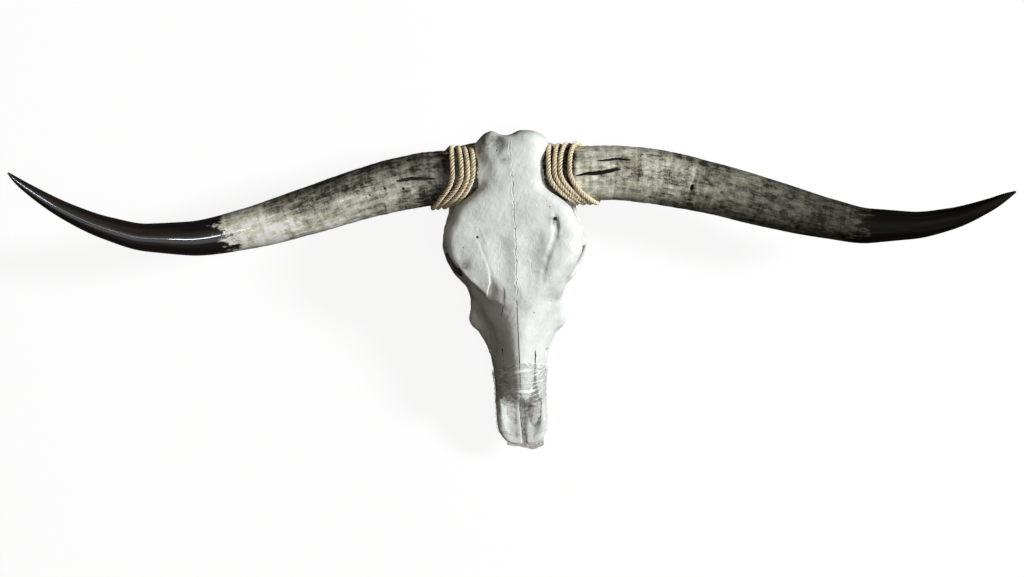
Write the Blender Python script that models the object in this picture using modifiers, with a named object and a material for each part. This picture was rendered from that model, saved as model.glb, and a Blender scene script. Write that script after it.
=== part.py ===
"""A longhorn steer skull with its horns, life size, lying face up on its cheek teeth and the
processes beside its neck joint, as a bare skull rests on a table.

Lengths are in metres. +Z is up, away from the forehead. +Y points to the poll and -Y to the muzzle.
+X is the animal's left, which is on the right as one looks down on the face.
The bones are first shaped in a frame of their own, in millimetres: x to the animal's left, u from the
poll towards the muzzle, z up from the plane on which the skull rests.
"""

import math

import bmesh
import bpy
import numpy as np
import openvdb
from mathutils import Matrix, Vector

MM = 0.001

# The skull in plan: where the poll is, and how a millimetre to the left (x) or along the face (u) moves
# a point of it in the model. The face leans a little to the animal's left.
POLL = np.array((-4.2, 260.7))
PLAN = np.array(((1.0, 0.0437), (0.012, -1.0)))
SKULL_LENGTH = 533.0

GRID_STEP = 2.5  # of the grid on which the bones are shaped
SKULL_TRIANGLES = 4030
SUTURE = 0.4  # the gap between neighbouring bones

# Heights and half-widths along the skull, each as (u, value).
ROOF = [(-6, 150), (4, 163), (20, 173), (60, 181), (120, 184), (185, 184), (235, 178), (285, 165),
        (330, 151), (380, 136), (430, 121), (470, 110), (540, 92)]
FOREHEAD_HALF = [(-8, 30), (0, 46), (10, 60), (22, 64), (45, 57), (72, 53), (86, 56), (98, 64), (107, 75),
                 (116, 87), (128, 99), (142, 104.5), (172, 114.5), (196, 112), (214, 104), (233, 89),
                 (255, 69), (277, 47), (300, 30)]
POLL_BACK = -2.0
POLL_SLANT = 14.0  # how much narrower the poll's right half is at the back
LEFT_CORNER = 30.0  # how round the forehead's edge is on the left side
RIGHT_CORNER = [(120, 34), (165, 22), (212, 12), (232, 5), (271, 5), (283, 26), (300, 34)]
# The nose's top falls a little to its shoulders, and more to its brows. Its sides go on down to the crests.
SHOULDER_HALF = [(205, 60), (262, 44), (285, 30), (300, 20), (330, 16), (355, 13), (391, 11), (540, 8)]
SHOULDER_DROP = [(205, 9), (262, 8), (285, 4), (300, 2.6), (330, 1.8), (430, 1.4), (540, 2)]
BROW_HALF = [(205, 92), (235, 84), (262, 62), (285, 48), (310, 39), (350, 31), (390, 27), (430, 25),
             (470, 22), (540, 15)]
BROW_DROP = [(205, 14), (262, 14), (310, 13), (350, 14), (430, 13), (540, 10)]
CREST_HALF = [(205, 100), (235, 86), (262, 81), (281, 81), (309, 81), (322, 78), (336, 70), (350, 61.5),
              (363, 55), (377, 51.5), (395, 49), (430, 46), (460, 45.5), (485, 45), (503, 42.5), (515, 38),
              (523, 32), (528, 24), (532, 10)]
CREST_HEIGHT = [(205, 96), (262, 90), (322, 80), (372, 72), (430, 64), (480, 56), (515, 52), (540, 51)]
JAW_HALF = [(205, 40), (240, 53), (262, 59), (300, 60), (340, 56), (370, 49), (392, 44), (412, 41),
            (430, 41), (460, 42), (485, 42), (503, 40), (515, 36), (523, 30), (528, 22), (532, 8)]
JAW_HEIGHT = [(205, 52), (235, 34), (255, 23), (300, 21), (350, 24), (390, 29), (410, 35), (440, 39),
              (500, 43), (540, 46)]
PALATE_HEIGHT = [(205, 60), (235, 44), (262, 31), (350, 31), (400, 37), (440, 41), (500, 44), (540, 47)]
# The side wall's upper edge, which falls away in front of the nasal bones.
WALL_TOP = [(200, 200), (330, 170), (366, 150), (384, 136), (396, 119), (412, 104), (450, 83), (480, 69),
            (505, 60), (522, 56), (540, 54)]

# Nasal bones: two long plates over the nose.
NASAL_HALF = [(268, 5), (280, 16), (296, 25), (330, 28), (370, 28), (400, 26), (425, 23), (440, 19),
              (449, 14), (455, 6)]
NASAL_THICKNESS = 7.0
NASAL_THIN_TIP = 4.0  # what is left of that in front
NASAL_ROOT = 272.0
NASAL_TIP = 462.0
NASAL_DEPTH = 19.0  # of the cut under them

# Where the cheek bones meet the brain case and the front jaw: slanting cuts, each through two points (u, z).
CRANIUM_CUT = ((294, 175), (245, 0))
PREMAXILLA_CUT = ((384, 125), (442, 35))

# How far the cuts reach: the floor, which gives the skull level feet, and planes clear of the skull.
FLOOR, TOP = 0.0, 205.0
BEHIND, AHEAD, ASIDE = -60.0, 600.0, 200.0

# The inside of the nose, open at the front.
WALL_THICKNESS = 4.5
NOSE_HALF = [(298, 12), (320, 24), (350, 31), (380, 36), (430, 38), (455, 35), (480, 32), (500, 30),
             (516, 26), (524, 19), (531, 6)]
NOSE_FLOOR = [(298, 60), (350, 50), (400, 47), (460, 49), (488, 51), (503, 56), (540, 56)]

# Cheek teeth, from the front one back: (length along the row, half-width).
CHEEK_TEETH = [(16, 7.5), (18, 9.0), (19, 10.0), (24, 11.5), (27, 12.0), (29, 11.0)]
TOOTH_MIDDLE, TOOTH_HALF_HEIGHT = 14.0, 18.0  # the floor then cuts the teeth level
MAXILLA_BACK = 212.0
TOOTH_ROW_FRONT = 391.0
TOOTH_ROW_HALF = [(250, 51), (300, 51.5), (345, 46), (391, 37)]
TOOTH_RISE = [(250, 0), (330, 0), (365, 1.5), (391, 4.5)]  # the front teeth are worn clear of the ground

# The furrow over the left brow, from back to front, its half-widths, and the pocket at its back end.
LEFT_FURROW = [(69.5, 143), (69.5, 158), (68, 177), (61.5, 192), (53, 211), (47.5, 231), (45, 250)]
LEFT_FURROW_WIDTHS = (4.5, 5, 3.8, 3, 2.6, 2.3, 2)
LEFT_POCKET = [(70, 147), (71.5, 158), (71.5, 168)]
LEFT_POCKET_WIDTHS = (3.4, 3.4, 1.5)
POCKET_DEPTH = 1.5  # of its middle, under the roof
# The fold inward of the right brow's tongue: (u, its edge), then (u, how deep) and (u, how wide) it is there.
FOLD_EDGE = [(166, -62), (178, -61), (190, -57.5), (205, -52), (220, -46.5), (236, -43.5), (250, -43.3),
             (261, -46), (273, -49.5), (290, -55)]
FOLD_DEPTH = [(164, -1), (172, 0.3), (190, 0.9), (220, 1.4), (236, 1.9), (251, 4), (265, 8.5), (285, 11)]
FOLD_WIDTH = [(164, 6), (190, 12), (220, 16), (240, 15), (251, 18), (265, 28), (285, 32)]
FURROW_RISE = 1.5  # of the middle of the tool that carves it, over the roof
# The slot beside the right eye's rim.
SOCKET_SLOT = [(-109, 196, 140), (-105, 212, 140), (-97, 226, 138), (-88, 239, 134)]
SOCKET_SLOT_WIDTHS = (2.5, 4.8, 4.8, 2.2)

ORBIT = (100, 211, 123)
ORBIT_RADIUS = 31.0

# Horns: knots (x, y, z, radius) from the base out, in millimetres in the model's frame.
LEFT_HORN = [(50, 190, 131, 41), (68, 191, 130, 43.5), (110, 194, 128, 45), (165, 195.5, 126, 45.5),
             (233, 190, 123, 45.5), (335, 170, 120, 43.6), (436, 143, 122, 40), (535, 117, 132, 33.7),
             (599, 105, 144, 29.2), (662, 105, 160, 23.2), (722, 114.6, 180, 18.0), (780, 137, 204, 10.6),
             (800, 148, 213, 6.8), (816, 157, 222, 1.6)]
RIGHT_HORN = [(-54, 187, 131, 41), (-73, 188, 130, 43.5), (-118, 187, 128, 45), (-175, 179, 126, 44.8),
              (-243, 163, 123, 43), (-345, 131, 120, 39.6), (-446, 101.5, 122, 34.6), (-545, 84, 134, 28.5),
              (-608, 85, 148, 23.6), (-670, 99.5, 166, 19.2), (-730, 125.7, 188, 14.6),
              (-787, 162.6, 212, 8.0), (-806, 178, 221, 4.6), (-815, 187, 226, 1.5)]
HORN_GAP = 0.35
HORN_SECTIONS = 26
HORN_SOCKET = 6  # of those sections, the ones that the cranium makes room for
HORN_SIDES = 5  # bevel resolution

# Ropes: a cord wound four times round each horn's base. Each turn's distance out from the middle of the
# model where it passes over the horn's poll side, its top and its front. Its turns lean out below.
ROPE_RADIUS = 4.0
ROPE_CLEARANCE = 1.0
ROPE_GAP = 2.2
ROPE_STEPS = 18  # per turn
ROPE_SIDES = 1  # bevel resolution
LEFT_ROPE = {"poll": (67, 83, 97, 112), "top": (58, 68, 77, 93), "front": (106, 118, 129, 140)}
RIGHT_ROPE = {"poll": (72, 82, 91, 102), "top": (62, 70.5, 81, 96), "front": (103, 115, 129.5, 140)}

# Film: a sleeve of clear film round the muzzle.
FILM_START = 395.0
FILM_END = 538.0
FILM_LEAN = 0.15
FILM_MIDDLE = 80.0  # the height at which a leaning section is where it says
FILM_LOWEST = 24.0
FILM_LAST_SPAN = 9.0  # how much of the bone the last ring goes round
FILM_SECTIONS = 10
FILM_SIDES = 20
FILM_CLEARANCE = 1.2
FILM_THICKNESS = 0.5
EDGE_SAMPLES = 9  # points looked at along each edge of the bone

BONE_WHITE = (0.80, 0.80, 0.76, 1)
HORN_GREY = (0.32, 0.30, 0.26, 1)
ROPE_STRAW = (0.62, 0.48, 0.30, 1)
FILM_CLEAR = (0.80, 0.80, 0.79, 0.35)

FAR = 40.0  # the distance that the grid holds wherever no bone is near


def smooth(knots):
    """A smooth curve through (place, value) knots that doesn't overshoot them."""
    at, value = (np.array(column, float) for column in zip(*knots))
    rise = np.diff(value) / np.diff(at)
    same_way = rise[1:] * rise[:-1] > 0
    slope = np.zeros(len(at))
    slope[1:-1][same_way] = 2 * rise[1:][same_way] * rise[:-1][same_way] / (rise[1:] + rise[:-1])[same_way]
    slope[0], slope[-1] = rise[0], rise[-1]

    def curve(where):
        where = np.clip(where, at[0], at[-1])
        i = np.clip(np.searchsorted(at, where) - 1, 0, len(at) - 2)
        span = at[i + 1] - at[i]
        t = (where - at[i]) / span
        near = (1 + 2 * t) * (1 - t) ** 2 * value[i] + t * (1 - t) ** 2 * span * slope[i]
        far = t * t * (3 - 2 * t) * value[i + 1] - t * t * (1 - t) * span * slope[i + 1]
        return near + far

    return curve


def smooth_min(a, b, soft):
    """The lesser of two distances, rounded over where they come within soft of each other."""
    soft = np.maximum(soft, 1e-3)
    h = np.maximum(soft - np.abs(a - b), 0) / soft
    return np.minimum(a, b) - h * h * soft / 4


def smooth_max(a, b, soft):
    return -smooth_min(-a, -b, soft)


def fade(value, start, end):
    """0 at start, 1 at end, smooth in between."""
    t = np.clip((value - start) / (end - start), 0, 1)
    return t * t * (3 - 2 * t)


def turned(x, u, z, centre, angles):
    """Coordinates about a centre, in axes turned by (about x, about u, about z) degrees."""
    x, u, z = x - centre[0], u - centre[1], z - centre[2]
    if not any(angles):
        return x, u, z
    turn = Matrix.Identity(3)
    for angle, axis in zip(angles, "XYZ"):
        turn = Matrix.Rotation(math.radians(angle), 3, axis) @ turn
    turn.transpose()
    return tuple(row[0] * x + row[1] * u + row[2] * z for row in turn)


class Bone:
    """A solid on a grid, as the distance of each grid point from its surface, negative inside."""

    def __init__(self, low, high, step):
        self.low = low
        self.step = step
        self.axes = [np.arange(a, b + step, step, dtype=np.float32) for a, b in zip(low, high)]
        self.distance = np.full([len(a) for a in self.axes], FAR, np.float32)

    def near(self, low, high):
        """The part of the grid in a box, and its coordinates."""
        part = tuple(slice(*np.searchsorted(axis, (a, b))) for axis, a, b in zip(self.axes, low, high))
        x, u, z = (axis[cut] for axis, cut in zip(self.axes, part))
        return part, x[:, None, None], u[None, :, None], z[None, None, :]

    def put(self, part, distance, soft, carve):
        old = self.distance[part]
        self.distance[part] = smooth_max(old, -distance, soft) if carve else smooth_min(old, distance, soft)

    def blob(self, centre, radii, soft=0, carve=False, turn=(0, 0, 0)):
        """An ellipsoid."""
        reach = (max(radii) if any(turn) else np.array(radii)) + soft + 2 * self.step
        part, x, u, z = self.near(np.array(centre) - reach, np.array(centre) + reach)
        x, u, z = turned(x, u, z, centre, turn)
        a, b, c = radii
        scaled = np.sqrt((x / a) ** 2 + (u / b) ** 2 + (z / c) ** 2)
        slope = np.sqrt((x / a**2) ** 2 + (u / b**2) ** 2 + (z / c**2) ** 2)
        self.put(part, scaled * (scaled - 1) / np.maximum(slope, 1e-6), soft, carve)

    def block(self, centre, half, edge=0, soft=0, carve=False, turn=(0, 0, 0)):
        """A box with rounded edges."""
        reach = (np.linalg.norm(half) if any(turn) else np.array(half)) + soft + 2 * self.step
        part, x, u, z = self.near(np.array(centre) - reach, np.array(centre) + reach)
        over = [np.abs(p) - (h - edge) for p, h in zip(turned(x, u, z, centre, turn), half)]
        outside = np.sqrt(sum(np.maximum(q, 0) ** 2 for q in over))
        inside = np.minimum(np.maximum(np.maximum(over[0], over[1]), over[2]), 0)
        self.put(part, outside + inside - edge, soft, carve)

    def rod(self, points, radii, soft=0, carve=False, flat=(1, 1, 1)):
        """A round bar through the points, with a radius at each. flat stretches it along the axes."""
        stretch = np.array(flat, float)
        for (a, b), (ra, rb) in zip(zip(points, points[1:]), zip(radii, radii[1:])):
            a, b = np.array(a, float), np.array(b, float)
            reach = max(ra, rb) * stretch + soft + 2 * self.step
            part, x, u, z = self.near(np.minimum(a, b) - reach, np.maximum(a, b) + reach)
            p = [(q - s) / k for q, s, k in zip((x, u, z), a, stretch)]
            along = (b - a) / stretch
            t = np.clip(sum(q * w for q, w in zip(p, along)) / (along @ along), 0, 1)
            out = np.sqrt(sum((q - t * w) ** 2 for q, w in zip(p, along)))
            self.put(part, (out - ra - t * (rb - ra)) * stretch.min(), soft, carve)

    def ring(self, centre, radii, tube, turn, soft=0):
        """An oval ring, lying in its own x and u plane before it is turned."""
        reach = max(radii) + tube + soft + 2 * self.step
        part, x, u, z = self.near(np.array(centre) - reach, np.array(centre) + reach)
        x, u, z = turned(x, u, z, centre, turn)
        middle = (radii[0] + radii[1]) / 2
        out = (np.sqrt((x / radii[0]) ** 2 + (u / radii[1]) ** 2) - 1) * middle
        self.put(part, np.sqrt(out**2 + z**2) - tube, soft, False)

    def mesh(self, name):
        """The surface as a mesh in the model's frame, in metres."""
        grid = openvdb.FloatGrid(FAR)
        grid.copyFromArray(np.ascontiguousarray(self.distance))
        points, _, quads = grid.convertToPolygons(0.0, 0.0)
        mesh = bpy.data.meshes.new(name)
        mesh.from_pydata(in_model(points * self.step + self.low), [], quads[:, ::-1].tolist())
        mesh.validate()
        return mesh


def in_model(points):
    """Points of the skull's own frame, in the model's frame and metres."""
    points = np.asarray(points, float)
    return np.column_stack([points[:, :2] @ PLAN.T + POLL, points[:, 2]]) * MM


def in_skull(points):
    """Points of the model's frame in millimetres, in the skull's own frame."""
    points = np.asarray(points, float)
    return np.column_stack([(points[:, :2] - POLL) @ np.linalg.inv(PLAN).T, points[:, 2]])


roof = smooth(ROOF)


def forehead(bone):
    """The frontal bones: a thick plate over the brain and between the eyes."""
    part, x, u, z = bone.near((-140, -20, 90), (140, 300, 215))
    right = x < 0
    x = np.abs(x)
    half = smooth(FOREHEAD_HALF)(u)
    crown = roof(u) - 5.0 * (x / half) ** 2
    under = roof(u) - 44 + 0.22 * np.maximum(x - 60, 0)
    half = half - right * POLL_SLANT * fade(u, 34, -4)
    corner = np.where(right, smooth(RIGHT_CORNER)(u), LEFT_CORNER)
    shape = smooth_max(z - crown, x - half, corner)
    shape = smooth_max(shape, under - z, 8)
    shape = smooth_max(shape, u - 300, 30)
    shape = smooth_max(shape, POLL_BACK - u, 14)
    bone.put(part, shape, 6, False)


def braincase(bone):
    bone.blob((0, 92, 112), (66, 92, 60), soft=14)
    bone.blob((0, 30, 77), (112, 24, 33), soft=16)  # the crest behind the ears
    bone.blob((0, 26, 122), (64, 22, 46), soft=14)
    bone.blob((0, 10, 104), (14, 10, 18), soft=20)
    for middle, half in ((-25, 25), (29, 32)):  # the poll's two bosses
        bone.blob((middle, 16, 150), (half, 19, 27), soft=18, turn=(0, math.copysign(8, middle), 0))
    bone.rod([(0, 34, 56), (0, 110, 60), (0, 190, 76)], [17, 13, 12], soft=12, flat=(1.35, 1, 0.8))


def horn_roots(bone):
    for side in (-1, 1):
        bone.rod([(side * 30, 72, 138), (side * 62, 72, 131)], [40, 40], soft=16)


def neck_joint(bone):
    """The condyles, the opening for the spinal cord, and the processes that the skull rests on."""
    for side in (-1, 1):
        bone.blob((side * 25, 23, 46), (17, 20, 28), soft=12, turn=(0, side * 16, side * -12))
        bone.rod([(side * 72, 46, 76), (side * 68, 58, 40), (side * 61, 68, 0)], [15, 10, 6.5], soft=9,
                 flat=(0.8, 1.15, 1))
        bone.blob((side * 47, 92, 40), (13, 20, 19), soft=7)  # the ear's bony bubble
        bone.rod([(side * 55, 84, 66), (side * 94, 76, 82)], [12, 9], soft=10)
        bone.rod([(side * 84, 78, 78), (side * 112, 74, 88)], [3.6, 3.6], soft=3, carve=True)
    bone.rod([(0, 0, 64), (0, 62, 66)], [18, 16], soft=8, carve=True)


def cheek_arch(bone):
    """The bar from the ear to below the eye, and the post behind the eye."""
    for side in (-1, 1):
        arch = [(side * 84, 92, 90), (side * 98, 120, 86), (side * 107, 148, 82), (side * 110, 176, 84),
                (side * 104, 204, 86), (side * 87, 234, 86), (side * 66, 262, 86)]
        bone.rod(arch, [14, 11, 9.5, 10, 11, 12, 12], soft=9, flat=(0.75, 1, 1.1))
        post = [(side * 105, 163, 156), (side * 110, 173, 130), (side * 110, 178, 94)]
        bone.rod(post, [11, 8, 10], soft=10, flat=(0.85, 1.2, 1))


def eye_socket(bone):
    x, u, z = ORBIT
    rim = ORBIT_RADIUS + 3, ORBIT_RADIUS - 2
    for side in (-1, 1):
        bone.blob((side * 65, u + 38, z - 6), (17, 25, 34), soft=18)
        bone.ring((side * x, u, z), rim, 6.5, (0, side * 78, side * 25), soft=14)
        bone.blob((side * (x - 6), u - 3, z), (44, ORBIT_RADIUS - 4, ORBIT_RADIUS), soft=5, carve=True,
                  turn=(0, side * -8, side * 25))
        bone.rod([(side * 84, u - 4, z - 4), (side * 40, u - 30, z - 24)], [20, 7], soft=8, carve=True)
        bone.blob((side * 80, 148, 108), (25, 44, 36), soft=10, carve=True)  # the hollow behind the socket


def nose_top(x, u):
    """The height of the face's top, from the midline over the shoulder to the brow's corner."""
    shoulder, brow = smooth(SHOULDER_HALF)(u), smooth(BROW_HALF)(u)
    drop, far_drop = smooth(SHOULDER_DROP)(u), smooth(BROW_DROP)(u)
    inner = drop * x / shoulder
    outer = drop + (far_drop - drop) * (x - shoulder) / (brow - shoulder)
    return roof(u) - np.where(x < shoulder, inner, outer)


def face(bone):
    """Nose, cheeks, palate and front jaw: a section of flats that changes along the skull."""
    part, x, u, z = bone.near((-130, 190, 8), (130, 545, 200))
    x = np.abs(x)
    ridge = np.sqrt(x * x + 36) - 6
    corners = [
        (0 * u, roof(u)),
        (smooth(SHOULDER_HALF)(u), roof(u) - smooth(SHOULDER_DROP)(u)),
        (smooth(BROW_HALF)(u), roof(u) - smooth(BROW_DROP)(u)),
        (smooth(CREST_HALF)(u), smooth(CREST_HEIGHT)(u)),
        (smooth(JAW_HALF)(u), smooth(JAW_HEIGHT)(u)),
        (0 * u, smooth(PALATE_HEIGHT)(u)),
    ]
    shape = None
    for (x1, z1), (x2, z2), soft in zip(corners, corners[1:], (0, 7, 16, 13, 9)):
        length = np.hypot(x2 - x1, z2 - z1)
        out = ridge if shape is None else x
        flat = ((z - z1) * (x2 - x1) - (out - x1) * (z2 - z1)) / length
        shape = flat if shape is None else smooth_max(shape, flat, soft * np.clip((545 - u) / 120, 0.3, 1))
    # in front, the roof goes on as the nasal bones, and the side walls fall away from them
    nasal_tip = (u - 446) - 0.9 * (8 - np.abs(x - 8))
    nasal = smooth_max(x - smooth(NASAL_HALF)(u), nasal_tip, 3)
    shape = smooth_max(shape, smooth_min(z - smooth(WALL_TOP)(u), nasal, 1), 4)
    shape = smooth_max(shape, MAXILLA_BACK - u + 0.25 * (110 - z) + 0.0012 * x * x, 24)
    shape = smooth_max(shape, u - (SKULL_LENGTH - 1), 5)
    bone.put(part, shape, 8, False)
    for side in (-1, 1):
        bone.blob((side * 70, 317, 80), (12, 14, 12), soft=14)  # the knob on the cheek
        bone.rod([(side * 70, 312, 82), (side * 66, 266, 90)], [8, 8], soft=10)
        bone.blob((side * 72, 354, 110), (23, 46, 26), soft=26, carve=True)
        bone.rod([(side * 44, 366, 76), (side * 58, 388, 72)], [4, 5.5], soft=4, carve=True)


def nose(bone):
    """The hollow of the nose, which runs forward and opens above the front jaw."""
    part, x, u, z = bone.near((-60, 285, 30), (60, 545, 215))
    floor = smooth(NOSE_FLOOR)(u)
    thinning = (NASAL_THICKNESS - NASAL_THIN_TIP) * np.clip((u - 400) / 50, 0, 1)
    ceiling = nose_top(np.abs(x), u) - NASAL_THICKNESS + thinning
    brow, crest = smooth(BROW_HALF)(u), smooth(CREST_HALF)(u)
    brow_height = roof(u) - smooth(BROW_DROP)(u)
    fall = brow_height - smooth(CREST_HEIGHT)(u)
    wall = (fall * (np.abs(x) - brow) + (crest - brow) * (z - brow_height)) / np.hypot(fall, crest - brow)
    wall = wall + WALL_THICKNESS - 80 * np.clip((u - 450) / 12, 0, 1)
    shape = smooth_max(np.abs(x) - smooth(NOSE_HALF)(u), floor - z, 10)
    shape = smooth_max(shape, wall, 3)
    shape = smooth_max(shape, z - ceiling - 80 * np.clip((u - 458) / 8, 0, 1), 5)
    shape = smooth_max(shape, 300 - u, 14)
    bone.put(part, shape, 2, True)
    # the foot of the wall between the nostrils
    bone.rod([(0, 296, 62), (0, 390, 54), (0, 424, 50)], [5, 4, 3], soft=6, flat=(0.7, 1, 1.8))
    # the inner bars of the front jaw
    right_bar = [(-6, 440, 52), (-6.5, 478, 54), (-5, 512, 54), (-8, 522, 50)]
    left_bar = [(11, 440, 52), (11.5, 478, 53), (11, 512, 53), (13, 524, 50)]
    bone.rod(right_bar, [3, 4.3, 4.6, 4], soft=3, flat=(1, 1, 0.6))
    bone.rod(left_bar, [3, 4.0, 4.4, 4], soft=3, flat=(1, 1, 0.6))


def front_jaw_openings(bone):
    """The two slots in the palate's front and the gap between the front jaw's halves."""
    right_slot = [(-18, 462, 46), (-18, 478, 46), (-15, 494, 46)]
    left_slot = [(24, 460, 46), (23.5, 478, 46), (20, 496, 46)]
    bone.rod(right_slot, [8, 7.5, 4], soft=2, carve=True, flat=(1, 1, 2))
    bone.rod(left_slot, [10, 9.5, 4.5], soft=2, carve=True, flat=(1, 1, 2))
    gap = [(1, 440, 46), (2, 470, 46), (2, 500, 46), (3.5, 545, 46)]
    bone.rod(gap, [2.5, 4.6, 4.6, 4.2], soft=2, carve=True, flat=(1, 1, 5))


def throat(bone):
    """The inner openings of the nose behind the palate, between two thin plates."""
    for side in (-1, 1):
        bone.blob((side * 25, 214, 64), (5.5, 52, 42), soft=6, turn=(-8, 0, side * -5))
        bone.rod([(side * 26, 194, 38), (side * 28, 184, 20)], [5, 3.4], soft=5)
        bone.blob((side * 11.5, 226, 50), (9.5, 52, 27), soft=3, carve=True)
    bone.blob((0, 200, 30), (21, 50, 18), soft=4, carve=True)


def teeth(bone):
    row_half, rise = smooth(TOOTH_ROW_HALF), smooth(TOOTH_RISE)
    u = TOOTH_ROW_FRONT
    for length, half_width in CHEEK_TEETH:
        height = TOOTH_MIDDLE + rise(u - length / 2)
        lobes = 1 if length < 20 else 2
        half = (half_width, length / lobes / 2 - 0.3, TOOTH_HALF_HEIGHT)
        for lobe in range(lobes):
            at = u - length * (lobe + 0.5) / lobes
            for side in (-1, 1):
                bone.block((side * row_half(at), at, height), half, edge=3.5, soft=1.2)
        u -= length


def furrows(bone):
    """The furrow over the left brow, and the slot beside the tongue of bone over the right eye."""
    line = [(x, u, float(roof(u)) + FURROW_RISE) for x, u in LEFT_FURROW]
    bone.rod(line, LEFT_FURROW_WIDTHS, soft=5, carve=True)
    pocket = [(x, u, float(roof(u)) - POCKET_DEPTH) for x, u in LEFT_POCKET]
    bone.rod(pocket, LEFT_POCKET_WIDTHS, soft=2, carve=True)
    bone.rod(SOCKET_SLOT, SOCKET_SLOT_WIDTHS, soft=2, carve=True, flat=(1, 1, 5))
    # the hollows of the brow, inward of the furrows
    bone.blob((-20, 222, 214), (28, 60, 34.5), soft=18, carve=True)
    bone.blob((26, 222, 214), (34, 60, 36), soft=18, carve=True)


def fold(bone):
    """The fold over the right eye, steep beside the tongue of bone and gentle inward of it."""
    part, x, u, z = bone.near((-75, 160, 130), (5, 312, 205))
    edge = smooth(FOLD_EDGE)(u)
    away = np.clip(1 - (x - edge) / smooth(FOLD_WIDTH)(u), 0, 1)
    depth = smooth(FOLD_DEPTH)(u) * away ** 2 - 2 * (away == 0)
    crown = roof(u) - 5.0 * (x / smooth(FOREHEAD_HALF)(u)) ** 2
    shape = smooth_max(crown - depth - z, edge - x, 2.5)
    bone.put(part, smooth_max(shape, u - 306, 6), 1.5, True)


def poll_dip(bone):
    """The dip between the poll's bosses, and the fall of the right one towards the horn."""
    bone.rod([(-8, -17, 60), (-7, -15.5, 190)], [20, 21], soft=9, carve=True)
    bone.rod([(-7, -8, 196), (-5, 34, 199)], [21, 18], soft=10, carve=True)
    bone.blob((-62, 6, 196), (44, 38, 34), soft=16, carve=True)
    bone.blob((-26, 12, roof(12) + 26), (24, 34, 30), soft=8, carve=True)


def keep_clear(bone):
    """Room for the ropes."""
    for knots, turns in ((LEFT_HORN, LEFT_ROPE), (RIGHT_HORN, RIGHT_ROPE)):
        wound = in_skull(rope_path(knots, turns))
        bone.rod(list(wound), [ROPE_RADIUS + ROPE_GAP] * len(wound), carve=True)


def skull_field(step):
    bone = Bone((-135, -24, -12), (135, 552, 208), step)
    braincase(bone)
    horn_roots(bone)
    forehead(bone)
    cheek_arch(bone)
    face(bone)
    eye_socket(bone)
    neck_joint(bone)
    throat(bone)
    nose(bone)
    front_jaw_openings(bone)
    teeth(bone)
    furrows(bone)
    fold(bone)
    poll_dip(bone)
    keep_clear(bone)
    return bone


def horn_line(knots, count):
    """Points and radii along a horn, evenly spaced."""
    rows = np.array(knots, float)
    along = np.concatenate([[0], np.cumsum(np.linalg.norm(np.diff(rows[:, :3], axis=0), axis=1))])
    at = along[-1] * np.linspace(0, 1, count)
    columns = [smooth(list(zip(along, rows[:, i])))(at) for i in range(4)]
    return np.stack(columns[:3], 1), columns[3]


def rope_path(knots, turns):
    """The middle of a rope wound round a horn's base, from its underside over the poll side and back."""
    line, radius = horn_line(knots, 400)
    side = 1 if knots[0][0] > 0 else -1
    outward = side * line[:, 0]
    passes = [stop for turn in zip(turns["poll"], turns["top"], turns["front"]) for stop in
              (turn[0], turn[1], turn[2], turn[0] + turn[2] - turn[1])]
    quarter = smooth(list(enumerate([passes[3] - 14] + passes)))
    points = []
    for i in range(len(turns["top"]) * ROPE_STEPS + 1):
        turn = i / ROPE_STEPS
        angle = 2 * math.pi * (turn - 0.25)
        at = float(quarter(np.array([4 * turn]))[0])
        centre = np.array([np.interp(at, outward, line[:, k]) for k in range(3)])
        ahead = np.array([np.interp(at + 2, outward, line[:, k]) for k in range(3)])
        axis = (ahead - centre) / np.linalg.norm(ahead - centre)
        up = np.array([0, 0, 1.0]) - axis[2] * axis
        up /= np.linalg.norm(up)
        poll = np.cross(up, axis) * side
        out = np.interp(at, outward, radius) + ROPE_RADIUS + ROPE_CLEARANCE
        points.append(centre + out * (math.cos(angle) * poll + math.sin(angle) * up))
    return np.array(points)


def finish_of(name, colour, roughness):
    material = bpy.data.materials.new(name)
    material.use_nodes = True
    surface = material.node_tree.nodes["Principled BSDF"]
    surface.inputs["Base Color"].default_value = colour
    surface.inputs["Roughness"].default_value = roughness
    surface.inputs["Metallic"].default_value = 0.0
    surface.inputs["Alpha"].default_value = colour[3]
    return material


def tube(name, points, radii, sides, finish):
    """A round bar with closed ends through points in millimetres."""
    curve = bpy.data.curves.new(name, "CURVE")
    curve.dimensions = "3D"
    curve.bevel_depth = MM
    curve.bevel_resolution = sides
    curve.use_fill_caps = True
    spline = curve.splines.new("POLY")
    spline.points.add(len(points) - 1)
    for point, place, radius in zip(spline.points, points, radii):
        point.co = (*(Vector(place) * MM), 1)
        point.radius = radius
    if finish:
        curve.materials.append(finish)
    return bpy.data.objects.new(name, curve)


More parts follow.
